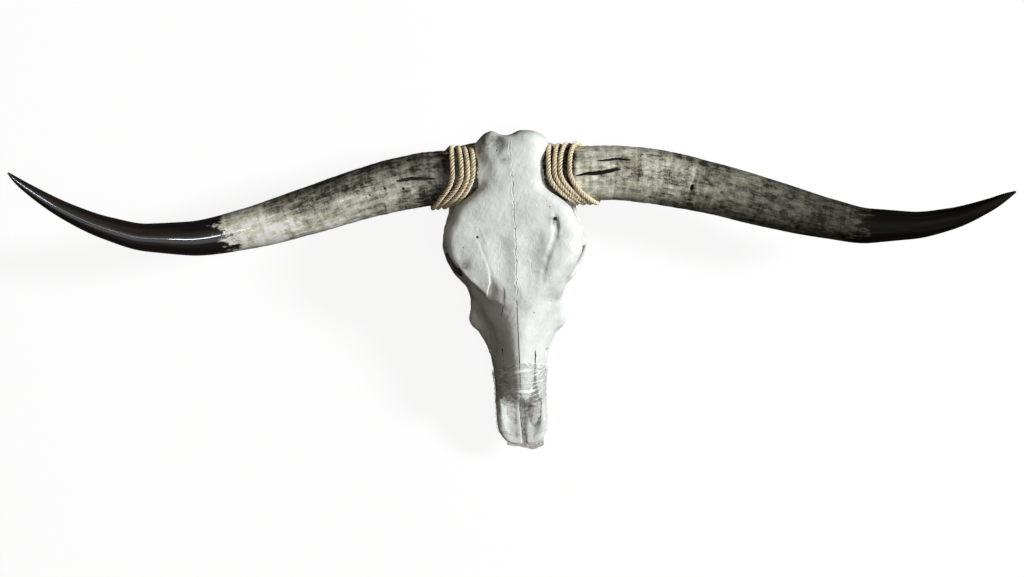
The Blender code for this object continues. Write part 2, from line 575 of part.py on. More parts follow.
def film_sleeve(skull, finish):
    """Clear film drawn tight round the muzzle: at each section, the narrowest ring that holds the bone.
    Its first sections lean, so that the film stays in front of the cheek teeth."""
    corners = in_skull(np.array([v.co for v in skull.vertices]) / MM)
    ends = corners[np.array([e.vertices for e in skull.edges])]
    shares = np.linspace(0, 1, EDGE_SAMPLES)
    points = np.concatenate([ends[:, 0] * (1 - t) + ends[:, 1] * t for t in shares])
    points = points[points[:, 2] > FILM_LOWEST]
    around = np.linspace(0, 2 * math.pi, FILM_SIDES, endpoint=False)
    step = around[1] - around[0]
    ahead = np.stack([np.cos(around), np.sin(around)], 1)
    mesh = bmesh.new()
    rings = []
    at = np.linspace(FILM_START, FILM_END, FILM_SECTIONS)
    for u in at:
        lean = FILM_LEAN * (at[-1] - u) / (at[-1] - at[0])
        off = points[:, 1] - u + lean * (points[:, 2] - FILM_MIDDLE)
        span = FILM_LAST_SPAN if u == at[-1] else 1.1 * (at[1] - at[0])
        near = points[np.abs(off) < span][:, [0, 2]]
        reach = (near @ ahead.T).max(0) + FILM_CLEARANCE
        # each corner is where two neighbouring tangents of the ring meet
        slide = (np.roll(reach, -1) - reach * math.cos(step)) / math.sin(step)
        ring = reach[:, None] * ahead + slide[:, None] * np.stack([-ahead[:, 1], ahead[:, 0]], 1)
        length = u - lean * (ring[:, 1] - FILM_MIDDLE)
        places = in_model(np.stack([ring[:, 0], length, ring[:, 1]], 1))
        rings.append([mesh.verts.new(place) for place in places])
    for back, front in zip(rings, rings[1:]):
        for i in range(FILM_SIDES):
            j = (i + 1) % FILM_SIDES
            mesh.faces.new((back[i], back[j], front[j], front[i])).smooth = True
    bmesh.ops.recalc_face_normals(mesh, faces=mesh.faces)
    data = bpy.data.meshes.new("muzzle_film")
    mesh.to_mesh(data)
    data.materials.append(finish)
    film = bpy.data.objects.new("muzzle_film", data)
    skin = film.modifiers.new("thickness", "SOLIDIFY")
    skin.thickness = FILM_THICKNESS * MM
    skin.offset = 1
    return film


def prism(name, outline, low, high, upright):
    """A cutter: an outline in the skull's frame carried straight across it. An upright one has a plan
    outline of (x, u), and heights low and high at each of its points. Any other has a side outline
    of (u, z), and runs from x = low to x = high."""
    if upright:
        rings = [[(x, u, level) for (x, u), level in zip(outline, levels)] for levels in (low, high)]
    else:
        rings = [[(x, u, z) for u, z in outline] for x in (low, high)]
    mesh = bmesh.new()
    below, above = [[mesh.verts.new(place) for place in in_model(ring)] for ring in rings]
    count = len(outline)
    mesh.faces.new(below)
    mesh.faces.new(above[::-1])
    for i in range(count):
        j = (i + 1) % count
        mesh.faces.new((below[j], below[i], above[i], above[j]))
    bmesh.ops.triangulate(mesh, faces=mesh.faces)
    bmesh.ops.recalc_face_normals(mesh, faces=mesh.faces)
    data = bpy.data.meshes.new(name)
    mesh.to_mesh(data)
    cutter = bpy.data.objects.new(name, data)
    cutter.hide_render = True
    cutter.display_type = "WIRE"
    return cutter


def nasal_prism(name, inner, grow):
    """The plan of one or both nasal bones, made larger by grow, as a cutter from under them to clear above.
    inner is the x of its inner edge, or None for both."""
    at = np.array([NASAL_ROOT, 279, 288, 298, 325, 355, 385, 410, 430, 444, NASAL_TIP])
    half = smooth(NASAL_HALF)(at) + grow
    at[0] -= grow
    if inner is None:
        plan = list(zip(half, at)) + list(zip(-half[::-1], at[::-1]))
    else:
        plan = list(zip(math.copysign(1, inner) * half, at)) + [(inner, at[-1]), (inner, at[0])]
    low = [float(roof(u)) - NASAL_DEPTH - grow for _, u in plan]
    high = [float(roof(u)) + NASAL_DEPTH for _, u in plan]
    return prism(name, plan, low, high, True)


def slant(cut, shift):
    """The two ends of a slanting cut, run on past the skull and moved along it by shift."""
    (u1, z1), (u2, z2) = cut
    lean = (u2 - u1) / (z2 - z1)
    return [(u1 + lean * (level - z1) + shift, level) for level in (FLOOR, TOP)]


def main():
    for old in list(bpy.data.objects):
        bpy.data.objects.remove(old)
    parts = bpy.data.collections.new("longhorn_steer_skull")
    cutters = bpy.data.collections.new("cutters")
    for collection in (parts, cutters):
        bpy.context.scene.collection.children.link(collection)

    # the whole skull, with fewer triangles
    raw = skull_field(GRID_STEP).mesh("skull")
    whole = bpy.data.objects.new("skull", raw)
    bpy.context.scene.collection.objects.link(whole)
    fewer = whole.modifiers.new("fewer", "DECIMATE")
    fewer.ratio = SKULL_TRIANGLES / (2 * len(raw.polygons))
    fewer.use_collapse_triangulate = True
    skull = bpy.data.meshes.new_from_object(whole.evaluated_get(bpy.context.evaluated_depsgraph_get()))
    bpy.data.objects.remove(whole)
    for face in skull.polygons:
        face.use_smooth = True

    gap = SUTURE / 2
    back = slant(CRANIUM_CUT, -gap)
    middle = slant(CRANIUM_CUT, gap) + slant(PREMAXILLA_CUT, -gap)[::-1]
    front = slant(PREMAXILLA_CUT, gap)
    regions = {
        "cranium": [(BEHIND, FLOOR), back[0], back[1], (BEHIND, TOP)],
        "maxilla": middle,
        "premaxilla": [front[0], (AHEAD, FLOOR), (AHEAD, TOP), front[1]],
    }
    noses = nasal_prism("cut_nasals", None, gap)
    cutters.objects.link(noses)
    sockets = [horn_socket("cut_horn_left", LEFT_HORN), horn_socket("cut_horn_right", RIGHT_HORN)]
    for socket in sockets:
        cutters.objects.link(socket)
    whole_width, halves = {"": (-ASIDE, ASIDE)}, {"_left": (gap, ASIDE), "_right": (-ASIDE, -gap)}
    for bone, outline in regions.items():
        sides = whole_width if bone == "cranium" else halves
        for side, (low, high) in sides.items():
            region = prism("cut_" + bone + side, outline, low, high, False)
            cutters.objects.link(region)
            cuts = [("INTERSECT", region), ("DIFFERENCE", noses)]
            if bone == "cranium":
                cuts += [("DIFFERENCE", socket) for socket in sockets]
            parts.objects.link(cut_bone(bone + side, skull, cuts))
    for side, inner in (("_left", gap), ("_right", -gap)):
        region = nasal_prism("cut_nasal" + side, inner, -gap)
        cutters.objects.link(region)
        parts.objects.link(cut_bone("nasal" + side, skull, (("INTERSECT", region),)))

    for side, knots, turns in (("_left", LEFT_HORN, LEFT_ROPE), ("_right", RIGHT_HORN, RIGHT_ROPE)):
        points, radii = horn_line(knots, HORN_SECTIONS)
        horn_finish = finish_of("horn" + side, HORN_GREY, 0.4)
        parts.objects.link(tube("horn" + side, points, radii, HORN_SIDES, horn_finish))
        path = rope_path(knots, turns)
        rope_finish = finish_of("rope" + side, ROPE_STRAW, 0.9)
        parts.objects.link(tube("rope" + side, path, [ROPE_RADIUS] * len(path), ROPE_SIDES, rope_finish))
    parts.objects.link(film_sleeve(skull, finish_of("muzzle_film", FILM_CLEAR, 0.15)))


def horn_socket(name, knots):
    """A cutter that makes room for the horn's base in the cranium."""
    points, radii = horn_line(knots, HORN_SECTIONS)
    points, radii = points[:HORN_SOCKET], radii[:HORN_SOCKET] + HORN_GAP
    back = (points[0] - points[1]) / np.linalg.norm(points[0] - points[1])
    points[0] += HORN_GAP * back
    bar = tube(name, points, radii, HORN_SIDES, None)
    bpy.context.scene.collection.objects.link(bar)
    mesh = bpy.data.meshes.new_from_object(bar.evaluated_get(bpy.context.evaluated_depsgraph_get()))
    bpy.data.objects.remove(bar)
    cutter = bpy.data.objects.new(name, mesh)
    cutter.hide_render = True
    cutter.display_type = "WIRE"
    return cutter


def cut_bone(name, skull, cuts):
    """One bone: a copy of the whole skull with everything outside the bone's region cut away."""
    bone = bpy.data.objects.new(name, skull.copy())
    bone.data.name = name
    bone.data.materials.append(finish_of(name, BONE_WHITE, 0.7))
    for operation, cutter in cuts:
        cut = bone.modifiers.new("cut", "BOOLEAN")
        cut.operation = operation
        cut.solver = "EXACT"
        cut.object = cutter
    return bone


main()
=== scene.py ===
"""The looks of a longhorn steer skull, lying face up: chalky bone, worn horns, laid rope and clear film.

Lengths in the shaping functions are in millimetres. The bones are shaped in the skull's own frame: x to the
animal's left, u from the poll towards the muzzle, z up from the floor. Horns and ropes are in the model's
frame.
"""

import math

import bmesh
import bpy
import numpy as np
import openvdb
from mathutils import Matrix, Vector


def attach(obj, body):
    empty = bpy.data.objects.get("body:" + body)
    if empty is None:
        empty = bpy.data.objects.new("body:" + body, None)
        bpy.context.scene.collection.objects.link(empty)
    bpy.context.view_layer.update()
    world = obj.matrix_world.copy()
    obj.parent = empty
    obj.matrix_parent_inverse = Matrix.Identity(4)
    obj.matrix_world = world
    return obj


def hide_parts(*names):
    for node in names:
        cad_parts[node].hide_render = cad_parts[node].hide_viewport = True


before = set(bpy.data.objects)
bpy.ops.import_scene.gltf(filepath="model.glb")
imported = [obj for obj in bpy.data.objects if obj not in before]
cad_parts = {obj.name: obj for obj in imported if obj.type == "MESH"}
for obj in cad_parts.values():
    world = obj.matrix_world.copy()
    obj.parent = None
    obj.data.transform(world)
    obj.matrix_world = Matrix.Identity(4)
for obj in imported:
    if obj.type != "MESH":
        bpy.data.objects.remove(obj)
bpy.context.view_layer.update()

MM = 0.001
BONE_SEED, SWELL_SEED, BRUSH_SEED = 5, 3, 11
HORN_SEEDS, FILM_SEEDS = (21, 22), (61, 62)
RIGHT_ROPE_SEED, LEFT_ROPE_SEED = 31, 41

# ---------------------------------------------------------------- the skull's sizes, as in the CAD source

POLL = np.array((-4.2, 260.7))
PLAN = np.array(((1.0, 0.0437), (0.012, -1.0)))
SKULL_LENGTH = 533.0
GRID_STEP = 1.4

ROOF = [(-6, 150), (4, 163), (20, 173), (60, 181), (120, 184), (185, 184), (235, 178), (285, 165),
        (330, 151), (380, 136), (430, 121), (470, 110), (540, 92)]
FOREHEAD_HALF = [(-8, 30), (0, 46), (10, 60), (22, 64), (45, 57), (72, 53), (86, 56), (98, 64), (107, 75),
                 (116, 87), (128, 99), (142, 104.5), (172, 114.5), (196, 112), (214, 104), (233, 89),
                 (255, 69), (277, 47), (300, 30)]
POLL_BACK = -2.0
# How round the forehead's edge is on the right side.
RIGHT_CORNER = [(120, 34), (165, 22), (212, 12), (232, 5), (271, 5), (283, 26), (300, 34)]
LEFT_CORNER = 30.0
POLL_SLANT = 14.0  # how much narrower the poll's right half is at the back
CROWN_FALL = 5.0  # how far the forehead falls from its middle to its edges
FOREHEAD_THICKNESS, FOREHEAD_FRONT = 44.0, 300.0
# The nose's flat top, then its shoulders, then its sides.
SHOULDER_HALF = [(205, 60), (262, 44), (285, 30), (300, 20), (330, 16), (355, 13), (391, 11), (540, 8)]
SHOULDER_DROP = [(205, 9), (262, 8), (285, 4), (300, 2.6), (330, 1.8), (430, 1.4), (540, 2)]
BROW_HALF = [(205, 92), (235, 84), (262, 62), (285, 48), (310, 39), (350, 31), (390, 27), (430, 25),
             (470, 22), (540, 15)]
BROW_DROP = [(205, 14), (262, 14), (310, 13), (350, 14), (430, 13), (540, 10)]
CREST_HALF = [(205, 100), (235, 86), (262, 81), (281, 81), (309, 81), (322, 78), (336, 70), (350, 61.5),
              (363, 55), (377, 51.5), (395, 49), (430, 46), (460, 45.5), (485, 45), (503, 42.5), (515, 38),
              (523, 32), (528, 24), (532, 10)]
CREST_HEIGHT = [(205, 96), (262, 90), (322, 80), (372, 72), (430, 64), (480, 56), (515, 52), (540, 51)]
JAW_HALF = [(205, 40), (240, 53), (262, 59), (300, 60), (340, 56), (370, 49), (392, 44), (412, 41),
            (430, 41), (460, 42), (485, 42), (503, 40), (515, 36), (523, 30), (528, 22), (532, 8)]
JAW_HEIGHT = [(205, 52), (235, 34), (255, 23), (300, 21), (350, 24), (390, 29), (410, 35), (440, 39),
              (500, 43), (540, 46)]
FACE_SOFTNESS = (0, 7, 16, 13, 9)  # how round the section's corners are, from the top down
RIDGE_WIDTH = 6.0
PALATE_HEIGHT = [(205, 60), (235, 44), (262, 31), (350, 31), (400, 37), (440, 41), (500, 44), (540, 47)]
WALL_TOP = [(200, 200), (330, 170), (366, 150), (384, 136), (396, 119), (412, 104), (450, 83), (480, 69),
            (505, 60), (522, 56), (540, 54)]

NASAL_HALF = [(268, 5), (280, 16), (296, 25), (330, 28), (370, 28), (400, 26), (425, 23), (440, 19),
              (449, 14), (455, 6)]
NASAL_THICKNESS = 7.0
NASAL_THIN_TIP = 4.0
NASAL_ROOT = 272.0
NASAL_TIP = 462.0
NASAL_DEPTH = 9.0
WALL_THICKNESS = 4.5
OPEN_FRONT = 80.0  # more than the nose's height, which leaves it open in front

CRANIUM_CUT = ((294, 175), (245, 0))
PREMAXILLA_CUT = ((384, 125), (442, 35))

NOSE_HALF = [(298, 12), (320, 24), (350, 31), (380, 36), (430, 38), (455, 35), (480, 32), (500, 30),
             (516, 26), (524, 19), (531, 6)]
NOSE_FLOOR = [(298, 60), (350, 50), (400, 47), (460, 49), (488, 51), (503, 56), (540, 56)]

CHEEK_TEETH = [(16, 7.5), (18, 9.0), (19, 10.0), (24, 11.5), (27, 12.0), (29, 11.0)]
TOOTH_MIDDLE, TOOTH_HALF_HEIGHT = 14.0, 18.0
MAXILLA_BACK = 212.0
TOOTH_ROW_FRONT = 391.0
TOOTH_ROW_HALF = [(250, 51), (300, 51.5), (345, 46), (391, 37)]
TOOTH_RISE = [(250, 0), (330, 0), (365, 1.5), (391, 4.5)]

LEFT_FURROW = [(69.5, 143), (69.5, 158), (68, 177), (61.5, 192), (53, 211), (47.5, 231), (45, 250)]
LEFT_FURROW_WIDTHS = (4.5, 5, 3.8, 3, 2.6, 2.3, 2)
LEFT_POCKET = [(70, 147), (71.5, 158), (71.5, 168)]
# The fold inward of the right brow's tongue: (u, its edge), then (u, how deep) and (u, how wide) it is there.
FOLD_EDGE = [(166, -62), (178, -61), (190, -57.5), (205, -52), (220, -46.5), (236, -43.5), (250, -43.3),
             (261, -46), (273, -49.5), (290, -55)]
FOLD_DEPTH = [(164, -1), (172, 0.3), (190, 0.9), (220, 1.4), (236, 1.9), (251, 4), (265, 8.5), (285, 11)]
FOLD_WIDTH = [(164, 6), (190, 12), (220, 16), (240, 15), (251, 18), (265, 28), (285, 32)]
SOCKET_SLOT = [(-109, 196, 140), (-105, 212, 140), (-97, 226, 138), (-88, 239, 134)]
SOCKET_SLOT_WIDTHS = (2.5, 4.8, 4.8, 2.2)
SOCKET_HOLE = (-91, 228)

ORBIT = (100, 211, 123)
ORBIT_RADIUS = 31.0

LEFT_HORN = [(50, 190, 131, 41), (68, 191, 130, 43.5), (110, 194, 128, 45), (165, 195.5, 126, 45.5),
             (233, 190, 123, 45.5), (335, 170, 120, 43.6), (436, 143, 122, 40), (535, 117, 132, 33.7),
             (599, 105, 144, 29.2), (662, 105, 160, 23.2), (722, 114.6, 180, 18.0), (780, 137, 204, 10.6),
             (800, 148, 213, 6.8), (816, 157, 222, 1.6)]
RIGHT_HORN = [(-54, 187, 131, 41), (-73, 188, 130, 43.5), (-118, 187, 128, 45), (-175, 179, 126, 44.8),
              (-243, 163, 123, 43), (-345, 131, 120, 39.6), (-446, 101.5, 122, 34.6), (-545, 84, 134, 28.5),
              (-608, 85, 148, 23.6), (-670, 99.5, 166, 19.2), (-730, 125.7, 188, 14.6),
              (-787, 162.6, 212, 8.0), (-806, 178, 221, 4.6), (-815, 187, 226, 1.5)]
HORN_GAP = 0.35
SOCKET_LENGTH = 140.0  # how much of the horn the bone makes room for

ROPE_RADIUS = 4.0
ROPE_CLEARANCE = 1.0
ROPE_GAP = 2.2
LEFT_ROPE = {"poll": (67, 83, 97, 112), "top": (58, 68, 77, 93), "front": (106, 118, 129, 140)}
RIGHT_ROPE = {"poll": (72, 82, 91, 102), "top": (62, 70.5, 81, 96), "front": (103, 115, 129.5, 140)}

FAR = 40.0
BEYOND = 1e9  # farther than any real distance


def smooth(knots):
    """A smooth curve through (place, value) knots that doesn't overshoot them."""
    at, value = (np.array(column, float) for column in zip(*knots))
    rise = np.diff(value) / np.diff(at)
    same_way = rise[1:] * rise[:-1] > 0
    slope = np.zeros(len(at))
    slope[1:-1][same_way] = 2 * rise[1:][same_way] * rise[:-1][same_way] / (rise[1:] + rise[:-1])[same_way]
    slope[0], slope[-1] = rise[0], rise[-1]

    def curve(where):
        where = np.clip(where, at[0], at[-1])
        i = np.clip(np.searchsorted(at, where) - 1, 0, len(at) - 2)
        span = at[i + 1] - at[i]
        t = (where - at[i]) / span
        near = (1 + 2 * t) * (1 - t) ** 2 * value[i] + t * (1 - t) ** 2 * span * slope[i]
        far = t * t * (3 - 2 * t) * value[i + 1] - t * t * (1 - t) * span * slope[i + 1]
        return near + far

    return curve


def smooth_min(a, b, soft):
    """The lesser of two distances, rounded over where they come within soft of each other."""
    soft = np.maximum(soft, 1e-3)
    h = np.maximum(soft - np.abs(a - b), 0) / soft
    return np.minimum(a, b) - h * h * soft / 4


def smooth_max(a, b, soft):
    """The greater of two distances, rounded in the same way."""
    return -smooth_min(-a, -b, soft)


def fade(value, start, end):
    """0 at start, 1 at end, smooth in between."""
    t = np.clip((value - start) / (end - start), 0, 1)
    return t * t * (3 - 2 * t)


def lengths_along(points):
    """How far along a path each of its points is."""
    return np.concatenate([[0], np.cumsum(np.linalg.norm(np.diff(points, axis=0), axis=1))])


def unit(vectors):
    """The same directions, one long."""
    return vectors / np.linalg.norm(vectors, axis=-1, keepdims=True)


def blended(values, corner, share):
    """Values between a 3-D table's cells. share is how far on each place is from its lowest cell."""
    total = np.zeros(len(share))
    for step in np.ndindex(2, 2, 2):
        weight = np.prod(np.where(step, share, 1 - share), axis=1)
        total += weight * values[tuple(((corner + step) % values.shape).T)]
    return total


class Grain:
    """Smooth random values in space, from -1 to 1, the same each run."""

    CELLS = 32

    def __init__(self, seed):
        self.cells = np.random.default_rng(seed).random((self.CELLS,) * 3) * 2 - 1

    def at(self, points, size):
        """The value at each point, with patches about that size, given as one length or one for each axis."""
        place = np.asarray(points, float) / size
        corner = np.floor(place).astype(int)
        share = place - corner
        return blended(self.cells, corner, share * share * (3 - 2 * share))

    def layers(self, points, size):
        """Patches of that size, with others half the size and half as strong on them."""
        size = np.asarray(size, float)
        return self.at(points, size) + self.at(points + 7.3, size / 2) / 2


def turned(x, u, z, centre, angles):
    """Coordinates about a centre, in axes turned by (about x, about u, about z) degrees."""
    x, u, z = x - centre[0], u - centre[1], z - centre[2]
    if not any(angles):
        return x, u, z
    turn = Matrix.Identity(3)
    for angle, axis in zip(angles, "XYZ"):
        turn = Matrix.Rotation(math.radians(angle), 3, axis) @ turn
    turn.transpose()
    return tuple(row[0] * x + row[1] * u + row[2] * z for row in turn)


class Bone:
    """A solid on a grid, as the distance of each grid point from its surface, negative inside."""

    def __init__(self, low, high, step):
        self.low = np.array(low, float)
        self.step = step
        self.axes = [np.arange(a, b + step, step, dtype=np.float32) for a, b in zip(low, high)]
        self.distance = np.full([len(a) for a in self.axes], FAR, np.float32)

    def near(self, low, high):
        """The part of the grid in a box, and its coordinates."""
        part = tuple(slice(*np.searchsorted(axis, (a, b))) for axis, a, b in zip(self.axes, low, high))
        x, u, z = (axis[cut] for axis, cut in zip(self.axes, part))
        return part, x[:, None, None], u[None, :, None], z[None, None, :]

    def put(self, part, distance, soft, carve):
        """Adds a shape to the solid, or takes it away."""
        old = self.distance[part]
        self.distance[part] = smooth_max(old, -distance, soft) if carve else smooth_min(old, distance, soft)

    def blob(self, centre, radii, soft=0, carve=False, turn=(0, 0, 0)):
        """An ellipsoid."""
        reach = (max(radii) if any(turn) else np.array(radii)) + soft + 2 * self.step
        part, x, u, z = self.near(np.array(centre) - reach, np.array(centre) + reach)
        x, u, z = turned(x, u, z, centre, turn)
        a, b, c = radii
        scaled = np.sqrt((x / a) ** 2 + (u / b) ** 2 + (z / c) ** 2)
        slope = np.sqrt((x / a**2) ** 2 + (u / b**2) ** 2 + (z / c**2) ** 2)
        self.put(part, scaled * (scaled - 1) / np.maximum(slope, 1e-6), soft, carve)

    def block(self, centre, half, edge, soft):
        """A box with rounded edges."""
        reach = np.array(half) + soft + 2 * self.step
        part, *place = self.near(np.array(centre) - reach, np.array(centre) + reach)
        over = [np.abs(p - c) - (h - edge) for p, c, h in zip(place, centre, half)]
        outside = np.sqrt(sum(np.maximum(q, 0) ** 2 for q in over))
        inside = np.minimum(np.maximum(np.maximum(over[0], over[1]), over[2]), 0)
        self.put(part, outside + inside - edge, soft, False)

    def rod(self, points, radii, soft=0, carve=False, flat=(1, 1, 1)):
        """A round bar through the points, with a radius at each. flat stretches it along the axes."""
        stretch = np.array(flat, float)
        for (a, b), (ra, rb) in zip(zip(points, points[1:]), zip(radii, radii[1:])):
            a, b = np.array(a, float), np.array(b, float)
            reach = max(ra, rb) * stretch + soft + 2 * self.step
            part, x, u, z = self.near(np.minimum(a, b) - reach, np.maximum(a, b) + reach)
            p = [(q - s) / k for q, s, k in zip((x, u, z), a, stretch)]
            along = (b - a) / stretch
            t = np.clip(sum(q * w for q, w in zip(p, along)) / (along @ along), 0, 1)
            out = np.sqrt(sum((q - t * w) ** 2 for q, w in zip(p, along)))
            self.put(part, (out - ra - t * (rb - ra)) * stretch.min(), soft, carve)

    def ring(self, centre, radii, tube, turn, soft):
        """An oval ring, lying in its own x and u plane before it is turned."""
        reach = max(radii) + tube + soft + 2 * self.step
        part, x, u, z = self.near(np.array(centre) - reach, np.array(centre) + reach)
        x, u, z = turned(x, u, z, centre, turn)
        out = (np.sqrt((x / radii[0]) ** 2 + (u / radii[1]) ** 2) - 1) * (radii[0] + radii[1]) / 2
        self.put(part, np.sqrt(out**2 + z**2) - tube, soft, False)

    def sample(self, values, points):
        """Values of another grid of this size, read at points between its own."""
        place = (points - self.low) / self.step
        corner = np.clip(np.floor(place).astype(int), 0, np.array(values.shape) - 2)
        return blended(values, corner, np.clip(place - corner, 0, 1))


def in_model(points):
    """Points of the skull's own frame, in the model's frame, still in millimetres."""
    points = np.asarray(points, float)
    return np.column_stack([points[:, :2] @ PLAN.T + POLL, points[:, 2]])


def in_skull(points):
    """Points of the model's frame in millimetres, in the skull's own frame."""
    points = np.asarray(points, float)
    return np.column_stack([(points[:, :2] - POLL) @ np.linalg.inv(PLAN).T, points[:, 2]])


roof = smooth(ROOF)


# ---------------------------------------------------------------- the bones' shape

def forehead(bone):
    """The frontal bones: a thick plate over the brain and between the eyes."""
    part, x, u, z = bone.near((-140, -20, 90), (140, 300, 215))
    right = x < 0
    x = np.abs(x)
    half = smooth(FOREHEAD_HALF)(u)
    crown = roof(u) - CROWN_FALL * (x / half) ** 2
    under = roof(u) - FOREHEAD_THICKNESS + 0.22 * np.maximum(x - 60, 0)
    half = half - right * POLL_SLANT * fade(u, 34, -4)
    corner = np.where(right, smooth(RIGHT_CORNER)(u), LEFT_CORNER)
    shape = smooth_max(z - crown, x - half, corner)
    shape = smooth_max(shape, under - z, 8)
    shape = smooth_max(shape, u - FOREHEAD_FRONT, 30)
    shape = smooth_max(shape, POLL_BACK - u, 14)
    bone.put(part, shape, 6, False)


def braincase(bone):
    """The back of the skull, with the poll's bosses on top."""
    bone.blob((0, 92, 112), (66, 92, 60), soft=14)
    bone.blob((0, 30, 77), (112, 24, 33), soft=16)  # the crest behind the ears
    bone.blob((0, 26, 122), (64, 22, 46), soft=14)
    bone.blob((0, 10, 104), (14, 10, 18), soft=20)
    for middle, half in ((-25, 25), (29, 32)):  # the poll's two bosses
        bone.blob((middle, 16, 150), (half, 19, 27), soft=18, turn=(0, math.copysign(8, middle), 0))
    bone.rod([(0, 34, 56), (0, 110, 60), (0, 190, 76)], [17, 13, 12], soft=12, flat=(1.35, 1, 0.8))


def horn_roots(bone):
    """The thick roots that hold the horns."""
    for side in (-1, 1):
        bone.rod([(side * 30, 72, 138), (side * 62, 72, 131)], [40, 40], soft=16)


def neck_joint(bone):
    """The condyles, the opening for the spinal cord, and the processes that the skull rests on."""
    for side in (-1, 1):
        bone.blob((side * 25, 23, 46), (17, 20, 28), soft=12, turn=(0, side * 16, side * -12))
        bone.rod([(side * 72, 46, 76), (side * 68, 58, 40), (side * 61, 68, 0)], [15, 10, 6.5], soft=9,
                 flat=(0.8, 1.15, 1))
        bone.blob((side * 47, 92, 40), (13, 20, 19), soft=7)  # the ear's bony bubble
        bone.rod([(side * 55, 84, 66), (side * 94, 76, 82)], [12, 9], soft=10)
        bone.rod([(side * 84, 78, 78), (side * 112, 74, 88)], [3.6, 3.6], soft=3, carve=True)
    bone.rod([(0, 0, 64), (0, 62, 66)], [18, 16], soft=8, carve=True)


def cheek_arch(bone):
    """The bar from the ear to below the eye, and the post behind the eye."""
    for side in (-1, 1):
        arch = [(side * 84, 92, 90), (side * 98, 120, 86), (side * 107, 148, 82), (side * 110, 176, 84),
                (side * 104, 204, 86), (side * 87, 234, 86), (side * 66, 262, 86)]
        bone.rod(arch, [14, 11, 9.5, 10, 11, 12, 12], soft=9, flat=(0.75, 1, 1.1))
        post = [(side * 105, 163, 156), (side * 110, 173, 130), (side * 110, 178, 94)]
        bone.rod(post, [11, 8, 10], soft=10, flat=(0.85, 1.2, 1))


def eye_socket(bone):
    """The rims and hollows of the eye sockets, and the hollows behind them."""
    x, u, z = ORBIT
    rim = ORBIT_RADIUS + 3, ORBIT_RADIUS - 2
    for side in (-1, 1):
        bone.blob((side * 65, u + 38, z - 6), (17, 25, 34), soft=18)
        bone.ring((side * x, u, z), rim, 6.5, (0, side * 78, side * 25), soft=14)
        bone.blob((side * (x - 6), u - 3, z), (44, ORBIT_RADIUS - 4, ORBIT_RADIUS), soft=5, carve=True,
                  turn=(0, side * -8, side * 25))
        bone.rod([(side * 84, u - 4, z - 4), (side * 40, u - 30, z - 24)], [20, 7], soft=8, carve=True)
        bone.blob((side * 80, 148, 108), (25, 44, 36), soft=10, carve=True)  # the hollow behind the socket


def nose_top(x, u):
    """The height of the face's top, from the midline over the shoulder to the brow's corner."""
    shoulder, brow = smooth(SHOULDER_HALF)(u), smooth(BROW_HALF)(u)
    drop, far_drop = smooth(SHOULDER_DROP)(u), smooth(BROW_DROP)(u)
    inner = drop * x / shoulder
    outer = drop + (far_drop - drop) * (x - shoulder) / (brow - shoulder)
    return roof(u) - np.where(x < shoulder, inner, outer)


def face(bone):
    """Nose, cheeks, palate and front jaw: a section of flats that changes along the skull."""
    part, x, u, z = bone.near((-130, 190, 8), (130, 545, 200))
    x = np.abs(x)
    ridge = np.sqrt(x * x + RIDGE_WIDTH**2) - RIDGE_WIDTH
    corners = [
        (0 * u, roof(u)),
        (smooth(SHOULDER_HALF)(u), roof(u) - smooth(SHOULDER_DROP)(u)),
        (smooth(BROW_HALF)(u), roof(u) - smooth(BROW_DROP)(u)),
        (smooth(CREST_HALF)(u), smooth(CREST_HEIGHT)(u)),
        (smooth(JAW_HALF)(u), smooth(JAW_HEIGHT)(u)),
        (0 * u, smooth(PALATE_HEIGHT)(u)),
    ]
    shape = None
    for (x1, z1), (x2, z2), soft in zip(corners, corners[1:], FACE_SOFTNESS):
        length = np.hypot(x2 - x1, z2 - z1)
        out = ridge if shape is None else x
        flat = ((z - z1) * (x2 - x1) - (out - x1) * (z2 - z1)) / length
        shape = flat if shape is None else smooth_max(shape, flat, soft * np.clip((545 - u) / 120, 0.3, 1))
    # in front, the roof goes on as the nasal bones, and the side walls fall away from them
    nasal_tip = (u - 446) - 0.9 * (8 - np.abs(x - 8))
    nasal = smooth_max(x - smooth(NASAL_HALF)(u), nasal_tip, 3)
    shape = smooth_max(shape, smooth_min(z - smooth(WALL_TOP)(u), nasal, 1), 4)
    shape = smooth_max(shape, MAXILLA_BACK - u + 0.25 * (110 - z) + 0.0012 * x * x, 24)
    shape = smooth_max(shape, u - (SKULL_LENGTH - 1), 5)
    bone.put(part, shape, 8, False)
    for side in (-1, 1):
        bone.blob((side * 70, 317, 80), (12, 14, 12), soft=14)  # the knob on the cheek
        bone.rod([(side * 70, 312, 82), (side * 66, 266, 90)], [8, 8], soft=10)
        bone.blob((side * 72, 354, 110), (23, 46, 26), soft=26, carve=True)
        bone.rod([(side * 44, 366, 76), (side * 58, 388, 72)], [4, 5.5], soft=4, carve=True)


